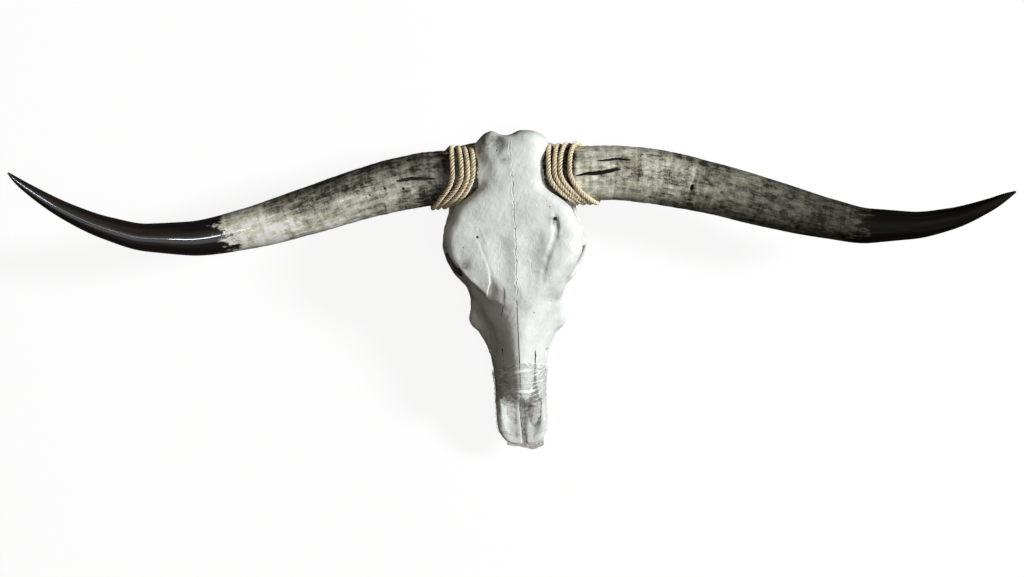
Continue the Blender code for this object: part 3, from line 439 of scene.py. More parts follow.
def nose(bone):
    """The hollow of the nose, which runs forward and opens above the front jaw."""
    part, x, u, z = bone.near((-60, 285, 30), (60, 545, 215))
    floor = smooth(NOSE_FLOOR)(u)
    thinning = (NASAL_THICKNESS - NASAL_THIN_TIP) * np.clip((u - 400) / 50, 0, 1)
    ceiling = nose_top(np.abs(x), u) - NASAL_THICKNESS + thinning
    brow, crest = smooth(BROW_HALF)(u), smooth(CREST_HALF)(u)
    brow_height = roof(u) - smooth(BROW_DROP)(u)
    fall = brow_height - smooth(CREST_HEIGHT)(u)
    wall = (fall * (np.abs(x) - brow) + (crest - brow) * (z - brow_height)) / np.hypot(fall, crest - brow)
    wall = wall + WALL_THICKNESS - OPEN_FRONT * np.clip((u - 450) / 12, 0, 1)
    shape = smooth_max(np.abs(x) - smooth(NOSE_HALF)(u), floor - z, 10)
    shape = smooth_max(shape, wall, 3)
    shape = smooth_max(shape, z - ceiling - OPEN_FRONT * np.clip((u - 458) / 8, 0, 1), 5)
    shape = smooth_max(shape, 300 - u, 14)
    bone.put(part, shape, 2, True)
    # the foot of the wall between the nostrils
    bone.rod([(0, 296, 62), (0, 390, 54), (0, 424, 50)], [5, 4, 3], soft=6, flat=(0.7, 1, 1.8))
    # the inner bars of the front jaw
    right_bar = [(-6, 440, 52), (-6.5, 478, 54), (-5, 512, 54), (-8, 522, 50)]
    left_bar = [(11, 440, 52), (11.5, 478, 53), (11, 512, 53), (13, 524, 50)]
    bone.rod(right_bar, [3, 4.3, 4.6, 4], soft=3, flat=(1, 1, 0.6))
    bone.rod(left_bar, [3, 4.0, 4.4, 4], soft=3, flat=(1, 1, 0.6))


def front_jaw_openings(bone):
    """The two slots in the palate's front and the gap between the front jaw's halves."""
    for line, radii, tall in (
            ([(-18, 462, 46), (-18, 478, 46), (-15, 494, 46)], [8, 7.5, 4], 2),
            ([(24, 460, 46), (23.5, 478, 46), (20, 496, 46)], [10, 9.5, 4.5], 2),
            ([(1, 440, 46), (2, 470, 46), (2, 500, 46), (3.5, 545, 46)], [2.5, 4.6, 4.6, 4.2], 5)):
        bone.rod(line, radii, soft=2, carve=True, flat=(1, 1, tall))


def throat(bone):
    """The inner openings of the nose behind the palate, between two thin plates."""
    for side in (-1, 1):
        bone.blob((side * 25, 214, 64), (5.5, 52, 42), soft=6, turn=(-8, 0, side * -5))
        bone.rod([(side * 26, 194, 38), (side * 28, 184, 20)], [5, 3.4], soft=5)
        bone.blob((side * 11.5, 226, 50), (9.5, 52, 27), soft=3, carve=True)
    bone.blob((0, 200, 30), (21, 50, 18), soft=4, carve=True)


def teeth(bone):
    """Six worn cheek teeth a side, with ribs down their outer sides and hollows in their crowns."""
    row_half, rise = smooth(TOOTH_ROW_HALF), smooth(TOOTH_RISE)
    u = TOOTH_ROW_FRONT
    for length, half_width in CHEEK_TEETH:
        height = TOOTH_MIDDLE + rise(u - length / 2)
        lobes = 1 if length < 20 else 2
        half = (half_width, length / lobes / 2 - 0.3, TOOTH_HALF_HEIGHT)
        for lobe in range(lobes):
            at = u - length * (lobe + 0.5) / lobes
            for side in (-1, 1):
                middle = side * row_half(at)
                bone.block((middle, at, height), half, edge=3.5, soft=1.2)
                for rib in (-0.7, 0.0, 0.7):
                    place = (middle + side * half_width, at + rib * half[1], height)
                    bone.rod([place, (place[0], place[1], 0)], [1.7, 1.7], soft=1.5)
                for share in (-0.35, 0.35):
                    foot = (middle + share * half_width, at, rise(at) - 1.5)
                    bone.blob(foot, (half_width * 0.16, half[1] * 0.62, 4.5), soft=1, carve=True)
        u -= length


def furrows(bone):
    """The furrow over the left brow, and the slot beside the tongue of bone over the right eye."""
    line = [(x, u, float(roof(u)) + 1.5) for x, u in LEFT_FURROW]
    bone.rod(line, LEFT_FURROW_WIDTHS, soft=5, carve=True)
    bone.rod([(x, u, float(roof(u)) - 1.5) for x, u in LEFT_POCKET], [3.4, 3.4, 1.5], soft=2, carve=True)
    bone.rod(SOCKET_SLOT, SOCKET_SLOT_WIDTHS, soft=2, carve=True, flat=(1, 1, 5))
    bone.blob((SOCKET_HOLE[0], SOCKET_HOLE[1], 150), (4, 4.5, 22), soft=2, carve=True)
    # the hollows of the brow, inward of the furrows
    bone.blob((-20, 222, 214), (28, 60, 34.5), soft=18, carve=True)
    bone.blob((26, 222, 214), (34, 60, 36), soft=18, carve=True)


def fold(bone):
    """The fold over the right eye, steep beside the tongue of bone and gentle inward of it."""
    part, x, u, z = bone.near((-75, 160, 130), (5, 312, 205))
    edge = smooth(FOLD_EDGE)(u)
    away = np.clip(1 - (x - edge) / smooth(FOLD_WIDTH)(u), 0, 1)
    depth = smooth(FOLD_DEPTH)(u) * away ** 2 - 2 * (away == 0)
    crown = roof(u) - CROWN_FALL * (x / smooth(FOREHEAD_HALF)(u)) ** 2
    shape = smooth_max(crown - depth - z, edge - x, 2.5)
    bone.put(part, smooth_max(shape, u - 306, 6), 1.5, True)


def poll_dip(bone):
    """The dip between the poll's bosses, and the fall of the right one towards the horn."""
    bone.rod([(-8, -17, 60), (-7, -15.5, 190)], [20, 21], soft=9, carve=True)
    bone.rod([(-7, -8, 196), (-5, 34, 199)], [21, 18], soft=10, carve=True)
    bone.blob((-62, 6, 196), (44, 38, 34), soft=16, carve=True)
    bone.blob((-26, 12, roof(12) + 26), (24, 34, 30), soft=8, carve=True)


def keep_clear(bone):
    """Room for the ropes and the horns' bases."""
    for knots, turns in ((LEFT_HORN, LEFT_ROPE), (RIGHT_HORN, RIGHT_ROPE)):
        wound = in_skull(rope_path(knots, turns, 18))
        bone.rod(list(wound), [ROPE_RADIUS + ROPE_GAP] * len(wound), carve=True)
        line, radius = horn_line(knots, 160)
        kept = np.linalg.norm(line - line[0], axis=1) < SOCKET_LENGTH
        line, radius = in_skull(line[kept]), radius[kept] + HORN_GAP
        back = unit(line[0] - line[1])
        line[0] += HORN_GAP * back
        reach = radius.max() + 4
        part, *place = bone.near(line.min(0) - reach, line.max(0) + reach)
        shape = np.full(np.broadcast_shapes(*(p.shape for p in place)), FAR, np.float32)
        for a, b, ra, rb in zip(line, line[1:], radius, radius[1:]):
            along = b - a
            t = np.clip(sum((p - c) * w for p, c, w in zip(place, a, along)) / (along @ along), 0, 1)
            out = np.sqrt(sum((p - c - t * w) ** 2 for p, c, w in zip(place, a, along)))
            shape = np.minimum(shape, out - ra - t * (rb - ra))
        behind = sum((p - c) * w for p, c, w in zip(place, line[0], back))
        bone.put(part, np.maximum(shape, behind), 0, True)


def skull_field(step):
    """The whole skull, before it is parted into bones."""
    bone = Bone((-135, -24, -12), (135, 552, 208), step)
    for shape in (braincase, horn_roots, forehead, cheek_arch, face, eye_socket, neck_joint, throat, nose,
                  front_jaw_openings, teeth, furrows, fold, poll_dip, keep_clear):
        shape(bone)
    return bone


# ---------------------------------------------------------------- horns and ropes: their lines

def horn_line(knots, count):
    """Points and radii along a horn, evenly spaced."""
    rows = np.array(knots, float)
    along = lengths_along(rows[:, :3])
    at = along[-1] * np.linspace(0, 1, count)
    columns = [smooth(list(zip(along, rows[:, i])))(at) for i in range(4)]
    return np.stack(columns[:3], 1), columns[3]


def across_horn(axis, side):
    """The directions towards the poll and up, square to a horn's axis."""
    up = unit(np.array([0, 0, 1.0]) - axis[..., 2:] * axis)
    return np.cross(up, axis) * side, up


def rope_path(knots, turns, steps):
    """The middle of a rope wound round a horn's base, from its underside over the poll side and back."""
    line, radius = horn_line(knots, 400)
    side = 1 if knots[0][0] > 0 else -1
    outward = side * line[:, 0]
    passes = [stop for turn in zip(turns["poll"], turns["top"], turns["front"]) for stop in
              (turn[0], turn[1], turn[2], turn[0] + turn[2] - turn[1])]
    quarter = smooth(list(enumerate([passes[3] - 14] + passes)))
    points = []
    for i in range(len(turns["top"]) * steps + 1):
        turn = i / steps
        angle = 2 * math.pi * (turn - 0.25)
        at = float(quarter(np.array([4 * turn]))[0])
        centre = np.array([np.interp(at, outward, line[:, k]) for k in range(3)])
        ahead = np.array([np.interp(at + 2, outward, line[:, k]) for k in range(3)])
        poll, up = across_horn(unit(ahead - centre), side)
        out = np.interp(at, outward, radius) + ROPE_RADIUS + ROPE_CLEARANCE
        points.append(centre + out * (math.cos(angle) * poll + math.sin(angle) * up))
    return np.array(points)


# ---------------------------------------------------------------- meshes

def tube_faces(sections, sides, start=0):
    """The quads between rings of points, numbered from start."""
    i, j = np.meshgrid(np.arange(sections - 1), np.arange(sides), indexing="ij")
    i, j = i.ravel() * sides + start, j.ravel()
    k = (j + 1) % sides
    return np.column_stack([i + j, i + k, i + k + sides, i + j + sides])


def new_object(name, points, faces, finish):
    """A mesh piece from points in millimetres in the model's frame."""
    mesh = bpy.data.meshes.new(name)
    mesh.from_pydata((np.asarray(points) * MM).tolist(), [], faces)
    mesh.shade_smooth()
    mesh.materials.append(finish)
    piece = bpy.data.objects.new(name, mesh)
    bpy.context.scene.collection.objects.link(piece)
    return piece


def attribute(piece, name, values):
    """A number or a vector for each point of a piece, which its material reads."""
    values = np.asarray(values, np.float32)
    kind, field = ("FLOAT", "value") if values.ndim == 1 else ("FLOAT_VECTOR", "vector")
    piece.data.attributes.new(name, kind, "POINT").data.foreach_set(field, values.ravel())


def points_of(mesh):
    """A mesh's points, in metres."""
    flat = np.empty(len(mesh.vertices) * 3, np.float32)
    mesh.vertices.foreach_get("co", flat)
    return flat.reshape(-1, 3).astype(float)


def box_mean(values, reach):
    """The mean of a grid over a box that reaches that many cells each way."""
    for axis in range(3):
        padded = np.pad(values, [(reach + 1, reach) if a == axis else (0, 0) for a in range(3)], mode="edge")
        total = np.cumsum(padded, axis=axis, dtype=np.float32)
        high = np.take(total, range(2 * reach + 1, total.shape[axis]), axis=axis)
        low = np.take(total, range(total.shape[axis] - 2 * reach - 1), axis=axis)
        values = (high - low) / (2 * reach + 1)
    return values


# ---------------------------------------------------------------- parting the bones

# The gap along the nose's middle, and along the outer side of each nasal bone. The other sutures are closed.
NASAL_SEAM = [(270, 0.0), (277, 0.1), (284, 1.1), (330, 1.4), (400, 1.8), (455, 2.4)]
LEFT_NASAL_SIDE = [(270, 0.0), (364, 0.0), (369, 1.7), (392, 2.4), (460, 2.6)]
RIGHT_NASAL_SIDE = [(270, 0.0), (283, 0.0), (290, 1.0), (303, 1.2), (310, 0.0), (356, 0.0), (364, 0.8),
                    (460, 1.6)]


def ahead_of(cut, x, u, z):
    """How far a place is in front of a slanting cut, whose line wanders as a suture does."""
    (u1, z1), (u2, z2) = cut
    lean = (u2 - u1) / (z2 - z1)
    wander = 0.8 * np.sin(0.9 * x + 1.7 * np.sin(0.23 * z)) + 0.6 * np.sin(0.8 * z + 1.3 * np.sin(0.31 * x))
    return (u - u1 - lean * (z - z1)) / math.hypot(1, lean) + wander


def in_nasals(x, u, z):
    """How far a place is outside the nasal bones."""
    reach = np.abs(x)
    side = reach - smooth(NASAL_HALF)(u) + 0.35 * np.sin(0.55 * u + 1.2 * np.sin(0.13 * u))
    under = nose_top(reach, u) - NASAL_DEPTH - z
    return np.maximum(np.maximum(side, under), np.maximum(NASAL_ROOT - u, u - NASAL_TIP))


def bone_regions(name, x, u, z):
    """How far a place is outside a bone's share of the skull."""
    back, front = (ahead_of(cut, x, u, z) for cut in (CRANIUM_CUT, PREMAXILLA_CUT))
    nasals = in_nasals(x, u, z)
    side = 1 if name.endswith("left") else -1
    nasal_gap = smooth(LEFT_NASAL_SIDE if side > 0 else RIGHT_NASAL_SIDE)(u) / 2
    if name == "cranium":
        shares = (back, -nasals)
    elif name.startswith("maxilla"):
        shares = (-back, front, -side * x, nasal_gap - nasals)
    elif name.startswith("premaxilla"):
        shares = (-front, -side * x, nasal_gap - nasals)
    else:
        shares = (nasals + nasal_gap, smooth(NASAL_SEAM)(u) / 2 - side * x)
    region = shares[0]
    for share in shares[1:]:
        region = np.maximum(region, share)
    return region


BONE_BOXES = {
    "cranium": ((-135, -24, -12), (135, 310, 208)),
    "maxilla_left": ((-4, 225, -12), (135, 470, 208)),
    "maxilla_right": ((-135, 225, -12), (4, 470, 208)),
    "nasal_left": ((-4, 262, 90), (40, 475, 185)),
    "nasal_right": ((-40, 262, 90), (4, 475, 185)),
    "premaxilla_left": ((-4, 370, 20), (60, 552, 150)),
    "premaxilla_right": ((-60, 370, 20), (4, 552, 150)),
}


def slope_of(value, places, reach):
    """The value's rate of change along each axis."""
    steps = np.eye(3) * reach
    return np.column_stack([(value(places + step) - value(places - step)) / (2 * reach) for step in steps])


def sharpened(places, name, skull):
    """Moves the points of a blunted edge, where the skull's outside meets a suture, onto the edge itself."""
    def outside(p):
        return skull.sample(skull.distance, p)

    def share(p):
        return bone_regions(name, *p.T)

    step = skull.step
    a, b = outside(places), share(places)
    chosen = np.flatnonzero((np.maximum(a, b) < -0.02 * step) & (np.minimum(a, b) > -0.95 * step))
    moved = places[chosen]
    for _ in range(4):
        a, b = outside(moved), share(moved)
        ga, gb = slope_of(outside, moved, 0.5 * step), slope_of(share, moved, 0.05)
        aa, ab, bb = (ga * ga).sum(1), (ga * gb).sum(1), (gb * gb).sum(1)
        det = np.maximum(aa * bb - ab * ab, 0.15 * aa * bb + 1e-6)
        moved = moved - ((a * bb - b * ab) / det)[:, None] * ga - ((b * aa - a * ab) / det)[:, None] * gb
    far = np.linalg.norm(moved - places[chosen], axis=1) > 1.2 * step
    moved[far] = places[chosen][far]
    places = places.copy()
    places[chosen] = moved
    return places


def bone_piece(name, skull, hollows, finish):
    """One bone's mesh, with its fine relief and what its material reads."""
    part, x, u, z = skull.near(*BONE_BOXES[name])
    shape = np.maximum(skull.distance[part], bone_regions(name, x, u, z))
    shape = np.maximum(shape, -z)
    grid = openvdb.FloatGrid(FAR)
    grid.copyFromArray(np.ascontiguousarray(shape, np.float32))
    places, _, quads = grid.convertToPolygons(0.0, 0.0)
    low = np.array([axis[cut.start] for axis, cut in zip(skull.axes, part)])
    places = sharpened(places.astype(float) * skull.step + low, name, skull)
    piece = new_object(name + "_bone", in_model(places), quads[:, ::-1].tolist(), finish)
    refine(piece.data, name)
    weather(piece, skull, hollows)
    return piece


# Fine lines on the bones: (half-width, depth, points (x, u)).
FRONTAL_SUTURE = (0.7, 0.75, [(-1, 14), (-1.5, 29), (0.7, 72), (1.3, 110), (1.6, 150), (1.9, 175), (1.7, 197),
                             (0.9, 235), (0.4, 274)])
SCRATCHES = [
    (0.6, 0.3, [(-70, 142), (-54, 127), (-38, 113)]),
    (0.6, 0.28, [(-64, 151), (-56, 141), (-48, 133)]),
    (0.6, 0.25, [(-47, 96), (-33, 84), (-24, 70)]),
    (0.6, 0.25, [(38, 118), (47, 129), (55, 137)]),
    (0.6, 0.2, [(22, 196), (25, 214), (27, 240)]),
    (0.6, 0.2, [(-22, 188), (-26, 214), (-29, 246)]),
]
# Small holes: (radius, depth, (x, u)).
HOLES = [
    (1.1, 3.0, (-23.6, 31.7)), (0.9, 2.0, (-85.5, 192.6)), (1.0, 2.5, (27.4, 301.9)),
    (2.0, 4.5, (-61.0, 175.5)), (2.3, 5.0, (69.0, 146.5)), (0.8, 1.6, (-28.8, 359.0)),
    (0.9, 1.8, (61.0, 127.0)), (0.7, 1.4, (55.0, 117.0)), (0.7, 1.2, (1.2, 118.0)),
    (0.7, 1.2, (1.4, 131.0)), (0.8, 1.4, (1.8, 162.0)), (0.7, 1.2, (0.8, 206.0)),
]
# Where the white lies thin and grey, also painted shade where shadow falls, as beside the poll's middle:
# (radius, (x, u)).
STAINS_AND_SHADE = [(15, (-17, 17)), (22, (-36, 14)), (15, (-44, 30)), (10, (-8, 48)), (12, (-84, 222)), (9, (66, 150))]
# Bare dark bone in the right socket, seen past the rim, also painted as the shadow under the rim: (radius,
# (x, u)), all of it below a height.
SOCKET_BARE_AND_SHADE = [(6, (-113, 203)), (8, (-110, 212)), (9, (-105, 220)), (9, (-99, 227)), (6, (-93, 233))]
SOCKET_BARE_AND_SHADE_TOP = 165.0
HOLLOW_REACHES = (5, 17)  # how far round a place its hollowness is taken, near and wide
SOCKET_FLOOR = 60.0
TOP_ONLY = 20.0  # lines and holes reach no lower than this below the roof
DETAIL_REACH = 2.2  # the mesh is finer this close to them
SHARP_ANGLE = math.radians(50)
# How strong the parts of the relief are.
SWELLS, DIMPLES, TEXTURE, BRUSHING = 0.7, 0.42, 0.17, 0.14


def along_line(points, line):
    """The distance of each (x, u) place from a line through points."""
    best = np.full(len(points), BEYOND)
    line = np.array(line, float)
    for a, b in zip(line, line[1:]):
        t = np.clip((points - a) @ (b - a) / ((b - a) @ (b - a)), 0, 1)
        best = np.minimum(best, np.linalg.norm(points - a - t[:, None] * (b - a), axis=1))
    return best


def near_detail(places):
    """How far each place of the skull's frame is from the nearest fine line or hole."""
    plan = places[:, :2]
    near = np.full(len(places), BEYOND)
    for width, _, line in [FRONTAL_SUTURE, *SCRATCHES]:
        near = np.minimum(near, along_line(plan, line) - width)
    for radius, _, centre in HOLES:
        near = np.minimum(near, np.linalg.norm(plan - centre, axis=1) - radius)
    near[places[:, 2] < roof(places[:, 1]) - TOP_ONLY] = BEYOND
    return near


def refine(mesh, name):
    """More points where the fine lines and holes are."""
    if name.startswith("premaxilla"):
        return
    chosen = near_detail(in_skull(points_of(mesh) / MM)) < DETAIL_REACH
    if not chosen.any():
        return
    fine = bmesh.new()
    fine.from_mesh(mesh)
    edges = [e for e in fine.edges if chosen[e.verts[0].index] and chosen[e.verts[1].index]]
    bmesh.ops.subdivide_edges(fine, edges=edges, cuts=2, use_grid_fill=True)
    fine.to_mesh(mesh)
    fine.free()
    mesh.shade_smooth()


def spots(plan, rows, start, end, ragged=0.0):
    """How far into a round spot each place is, from 0 to 1. start and end are shares of its radius."""
    inside = np.zeros(len(plan))
    for radius, centre in rows:
        away = np.linalg.norm(plan - centre, axis=1) + ragged
        inside = np.maximum(inside, fade(away, start * radius, end * radius))
    return inside


def bone_relief(places, top, fine):
    """How far the bone swells: broad swells, dimples, and strokes of a brush on what faces up."""
    x, u, z = places.T
    strokes = np.column_stack([x + 0.55 * u, u - 0.55 * x, z])
    relief = SWELLS * Grain(SWELL_SEED).layers(places, 30) + DIMPLES * fine.at(places, 13)
    relief += TEXTURE * fine.layers(places, 6)
    return relief + BRUSHING * top * Grain(BRUSH_SEED).layers(strokes, (3.6, 26, 12))


def bone_marks(places, fine):
    """How deep the fine lines and holes are, and how dark."""
    plan = places[:, :2] + 0.5 * np.column_stack([fine.at(places, 5), fine.at(places + 50, 5)])
    zigzag = plan + np.column_stack([1.5 * fine.at(places, (200, 3.2, 200)), 0 * places[:, 0]])
    deep, dark = np.zeros(len(places)), np.zeros(len(places))
    for width, depth, line in [FRONTAL_SUTURE, *SCRATCHES]:
        seam = line is FRONTAL_SUTURE[2]
        away = along_line(zigzag if seam else plan, line)
        strength = fade(fine.at(places + 9, 7), -0.7, 0.5) if seam else 0.65 + 0.35 * fine.at(places + 9, 6)
        groove = np.exp(-((away / width) ** 2)) * strength
        deep += depth * groove - 0.35 * depth * np.exp(-(((away - 2.4 * width) / (1.3 * width)) ** 2))
        if seam:
            patchy = fade(fine.at(places + 23, 3.0), 0.05, 0.5) * fade(plan[:, 1], 60, 130)
            dark = np.maximum(dark, 0.9 * groove * patchy)
    for radius, depth, centre in HOLES:
        pit = spots(places[:, :2], [(radius, centre)], 1.5, 0.45)
        deep += depth * pit
        # painted shade: the holes are dark inside
        dark = np.maximum(dark, pit)
    return deep, dark


def weather(piece, skull, hollows):
    """Wears a bone, and stores what its material reads."""
    mesh = piece.data
    places = in_skull(points_of(mesh) / MM)
    plan, height = places[:, :2], places[:, 2]
    normals = slope_of(lambda p: skull.sample(skull.distance, p), places, 0.8 * skull.step)
    normals /= np.maximum(np.linalg.norm(normals, axis=1), 1e-6)[:, None]
    facing = normals[:, 2]
    outer = fade(skull.sample(skull.distance, places), -2.2, -0.6)
    low = height < roof(places[:, 1]) - TOP_ONLY
    fine = Grain(BONE_SEED)
    relief = bone_relief(places, fade(facing, -0.2, 0.5), fine)
    deep, dark = bone_marks(places, fine)
    deep[low], dark[low] = 0, 0
    flat_foot = fade(height, 0.2, 2.0)
    moved = places - normals * ((deep - relief) * flat_foot * outer)[:, None]
    moved[:, 2] = np.maximum(moved[:, 2], 0)
    mesh.vertices.foreach_set("co", (in_model(moved) * MM).astype(np.float32).ravel())
    mesh.update()
    mesh.set_sharp_from_angle(angle=SHARP_ANGLE)

    # how enclosed each place is; the material darkens enclosed places as painted shade
    small, wide = hollows
    attribute(piece, "hollow", skull.sample(small, places + 2.0 * normals))
    attribute(piece, "shelter", skull.sample(wide, places + 5.0 * normals))
    in_socket = height > SOCKET_FLOOR
    # the right socket: bare bone, darkened further as painted shadow under the rim
    bare_and_shade = spots(plan, SOCKET_BARE_AND_SHADE, 1.15, 0.8, 0.8 * fine.at(places, 4))
    bare_and_shade *= fade(height, SOCKET_BARE_AND_SHADE_TOP + 4, SOCKET_BARE_AND_SHADE_TOP - 2) * in_socket
    # the socket hole's walls, painted dark as shade where they turn from facing up
    pit = spots(plan, [(1.0, SOCKET_HOLE)], 5.5, 3.5) * in_socket
    dark = np.maximum(dark, np.maximum(0.78 * bare_and_shade, pit * fade(facing, 0.8, 0.4)))
    attribute(piece, "dark", np.maximum(dark, 1 - outer))
    # steep sides, which the material darkens a little as painted shade
    attribute(piece, "steep_shade", fade(facing, 0.92, 0.55))
    # grey patches: thin white, and painted shade
    attribute(piece, "stain_and_shade", spots(plan, STAINS_AND_SHADE, 1.35, 0.2) * ~low)
    attribute(piece, "place", places * MM)


# ---------------------------------------------------------------- materials

class Finish:
    """A node material, built by small calls. Each call gives the socket that the next one takes."""

    def __init__(self, name):
        self.material = bpy.data.materials.new(name)
        self.material.use_nodes = True
        self.tree = self.material.node_tree
        self.surface = self.tree.nodes["Principled BSDF"]

    def plug(self, socket, value):
        """Links a socket to another, or sets it to a number, a vector or a colour of three numbers."""
        if isinstance(value, bpy.types.NodeSocket):
            self.tree.links.new(value, socket)
        else:
            socket.default_value = (*value, 1) if socket.type == "RGBA" else value

    def node(self, kind, inputs=(), **settings):
        """A new node, with its settings and what goes into it."""
        made = self.tree.nodes.new("ShaderNode" + kind)
        for key, value in settings.items():
            setattr(made, key, value)
        for key, value in dict(inputs).items():
            self.plug(made.inputs[key], value)
        return made

    def set(self, key, value):
        """Gives the surface a value or a pattern."""
        self.plug(self.surface.inputs[key], value)

    def read(self, name, output="Fac"):
        """What the mesh stores under a name."""
        return self.node("Attribute", attribute_name=name).outputs[output]

    def stretched(self, vector, scale):
        """Coordinates that make a pattern longer where the scale is less than 1."""
        return self.node("Mapping", {"Vector": vector, "Scale": scale}).outputs["Vector"]

    def noise(self, vector, scale, detail, roughness=0.55, distortion=0.0):
        """A cloudy pattern, with about scale patches in a metre."""
        inputs = {"Vector": vector, "Scale": scale, "Detail": detail, "Roughness": roughness}
        return self.node("TexNoise", {**inputs, "Distortion": distortion}).outputs["Fac"]

    def cells(self, vector, scale):
        """How far each place is from the middle of its cell, with about scale cells in a metre."""
        return self.node("TexVoronoi", {"Vector": vector, "Scale": scale}).outputs["Distance"]

    def math(self, operation, a, b, clamp=False):
        return self.node("Math", {0: a, 1: b}, operation=operation, use_clamp=clamp).outputs[0]

    def between(self, value, low, high, start=0.0, end=1.0):
        """start where the value is low, end where it is high, smooth in between."""
        inputs = {"Value": value, "From Min": low, "From Max": high, "To Min": start, "To Max": end}
        return self.node("MapRange", inputs, interpolation_type="SMOOTHSTEP").outputs["Result"]

    def mix(self, share, a, b, blend="MIX"):
        """Colour a, turning to colour b as share goes to 1."""
        return self.node("Mix", {0: share, 6: a, 7: b}, data_type="RGBA", blend_type=blend).outputs[2]

    def plus(self, a, b, clamp=False):
        return self.math("ADD", a, b, clamp)

    def times(self, a, b, clamp=False):
        return self.math("MULTIPLY", a, b, clamp)

    def swing(self, value, amount):
        """A pattern's value as a swing about zero."""
        return self.times(self.math("SUBTRACT", value, 0.5), amount)

    def bump(self, height, strength, distance, normal=None):
        """Fine relief from a pattern, on top of another."""
        inputs = {"Height": height, "Strength": strength, "Distance": distance}
        if normal is not None:
            inputs["Normal"] = normal
        return self.node("Bump", inputs).outputs["Normal"]


BLACK = (0.0, 0.0, 0.0)
WHITE, WORN_WHITE = (0.80, 0.82, 0.80), (0.71, 0.735, 0.715)
STROKE_GREY, DAPPLE_GREY = (0.60, 0.62, 0.60), (0.62, 0.64, 0.625)
BUFF, SPECK_BROWN, STAIN_AND_SHADE_GREY = (0.50, 0.47, 0.40), (0.42, 0.40, 0.36), (0.235, 0.232, 0.21)
BARE_BONE_AND_SHADE, DARK_BONE_AND_SHADE, GRIME_AND_SHADE = (0.30, 0.235, 0.16), (0.16, 0.12, 0.085), (0.05, 0.04, 0.032)


def bone_finish():
    """Chalky white on the outside, brown where the white didn't reach, with grime in the cracks, and painted
    shade on steep sides, in hollows, in holes and in the right socket.
    """
    f = Finish("bone")
    place = f.read("place", "Vector")
    hollow, shelter, dark = f.read("hollow"), f.read("shelter"), f.read("dark")
    patches = f.noise(place, 22, 4, 0.6)
    strokes = f.noise(f.stretched(place, (60, 12, 30)), 7, 4, 0.6, 0.4)
    specks = f.noise(place, 420, 2, 0.5)
    colour = f.mix(f.between(patches, 0.35, 0.7), WHITE, WORN_WHITE)
    colour = f.mix(f.between(strokes, 0.5, 0.75, 0.0, 0.22), colour, STROKE_GREY)
    dapples = f.noise(place, 95, 3, 0.55)
    colour = f.mix(f.between(dapples, 0.42, 0.72, 0.0, 0.30), colour, DAPPLE_GREY)
    # painted shade: steep sides a little darker
    colour = f.mix(f.times(f.read("steep_shade"), 0.09), colour, BLACK)
    # where the white lies thin the bone's own buff shows; in hollows the buff is also painted shade
    thin_white_and_shade = f.plus(f.between(hollow, 0.56, 0.74), f.between(patches, 0.55, 0.8, 0.0, 0.15))
    colour = f.mix(f.times(thin_white_and_shade, 0.5, True), colour, BUFF)
    # grey patches: thin white, and painted shade where shadow falls
    mottled = f.times(f.read("stain_and_shade"), f.between(f.noise(place, 85, 4, 0.65), 0.36, 0.62, 0.35, 0.95))
    colour = f.mix(mottled, colour, STAIN_AND_SHADE_GREY)
    # sheltered places turn bare bone's brown: unpainted bone, and painted shade
    inside = f.between(shelter, 0.62, 0.85)
    bare_and_shade = f.mix(f.between(f.noise(place, 60, 4, 0.6), 0.35, 0.7), BARE_BONE_AND_SHADE, DARK_BONE_AND_SHADE)
    colour = f.mix(inside, colour, bare_and_shade)
    colour = f.mix(f.between(specks, 0.68, 0.8, 0.0, 0.22), colour, SPECK_BROWN)
    # grime in the sutures, and painted shade in the holes and the right socket
    colour = f.mix(f.between(dark, 0.25, 0.75, 0.0, 0.9), colour, GRIME_AND_SHADE)
    f.set("Base Color", colour)
    f.set("Roughness", f.between(patches, 0.3, 0.7, 0.62, 0.78))
    f.set("Specular IOR Level", 0.28)
    grain = f.noise(place, 260, 4, 0.65)
    slanted = f.node("Mapping", {"Vector": place, "Rotation": (0.0, 0.0, 0.5)}).outputs["Vector"]
    brushed = f.noise(f.stretched(slanted, (1.0, 0.16, 0.5)), 330, 3, 0.6)
    normal = f.bump(grain, 0.42, 0.0006)
    normal = f.bump(strokes, 0.24, 0.0012, normal)
    normal = f.bump(brushed, 0.40, 0.0007, normal)
    normal = f.bump(specks, 0.30, 0.0004, normal)
    f.set("Normal", normal)
    return f.material


# ---------------------------------------------------------------- horns

HORN_SECTIONS, HORN_SIDES = ((560, 160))
NOMINAL_RADIUS = 40.0  # the marks' pattern is laid out as if the horn were this thick all along

# Cracks: (start, end, angle at start, angle at end, half-width, depth). Angles go from 0 at the poll side
# over 90 on top to 180 at the muzzle side. Pits: (along, angle, half-length, half-width, depth).
RIGHT_CRACKS = [(72, 138, 95, 86, 2.2, 5.5), (176, 204, 84, 80, 0.7, 0.8)]
RIGHT_PITS = [(128, 106, 2.0, 2.2, 2.0), (158, 97, 1.8, 1.8, 1.6), (186, 103, 1.6, 1.5, 1.4)]
LEFT_CRACKS = [(88, 144, 68, 63, 1.9, 4.5), (52, 128, 100, 88, 2.7, 5.0), (150, 200, 48, 44, 0.5, 0.7)]
LEFT_PITS = [(251, 104, 2.2, 5.2, 4.0), (303, 100, 3.4, 2.6, 1.0), (112, 110, 1.6, 1.6, 1.2)]
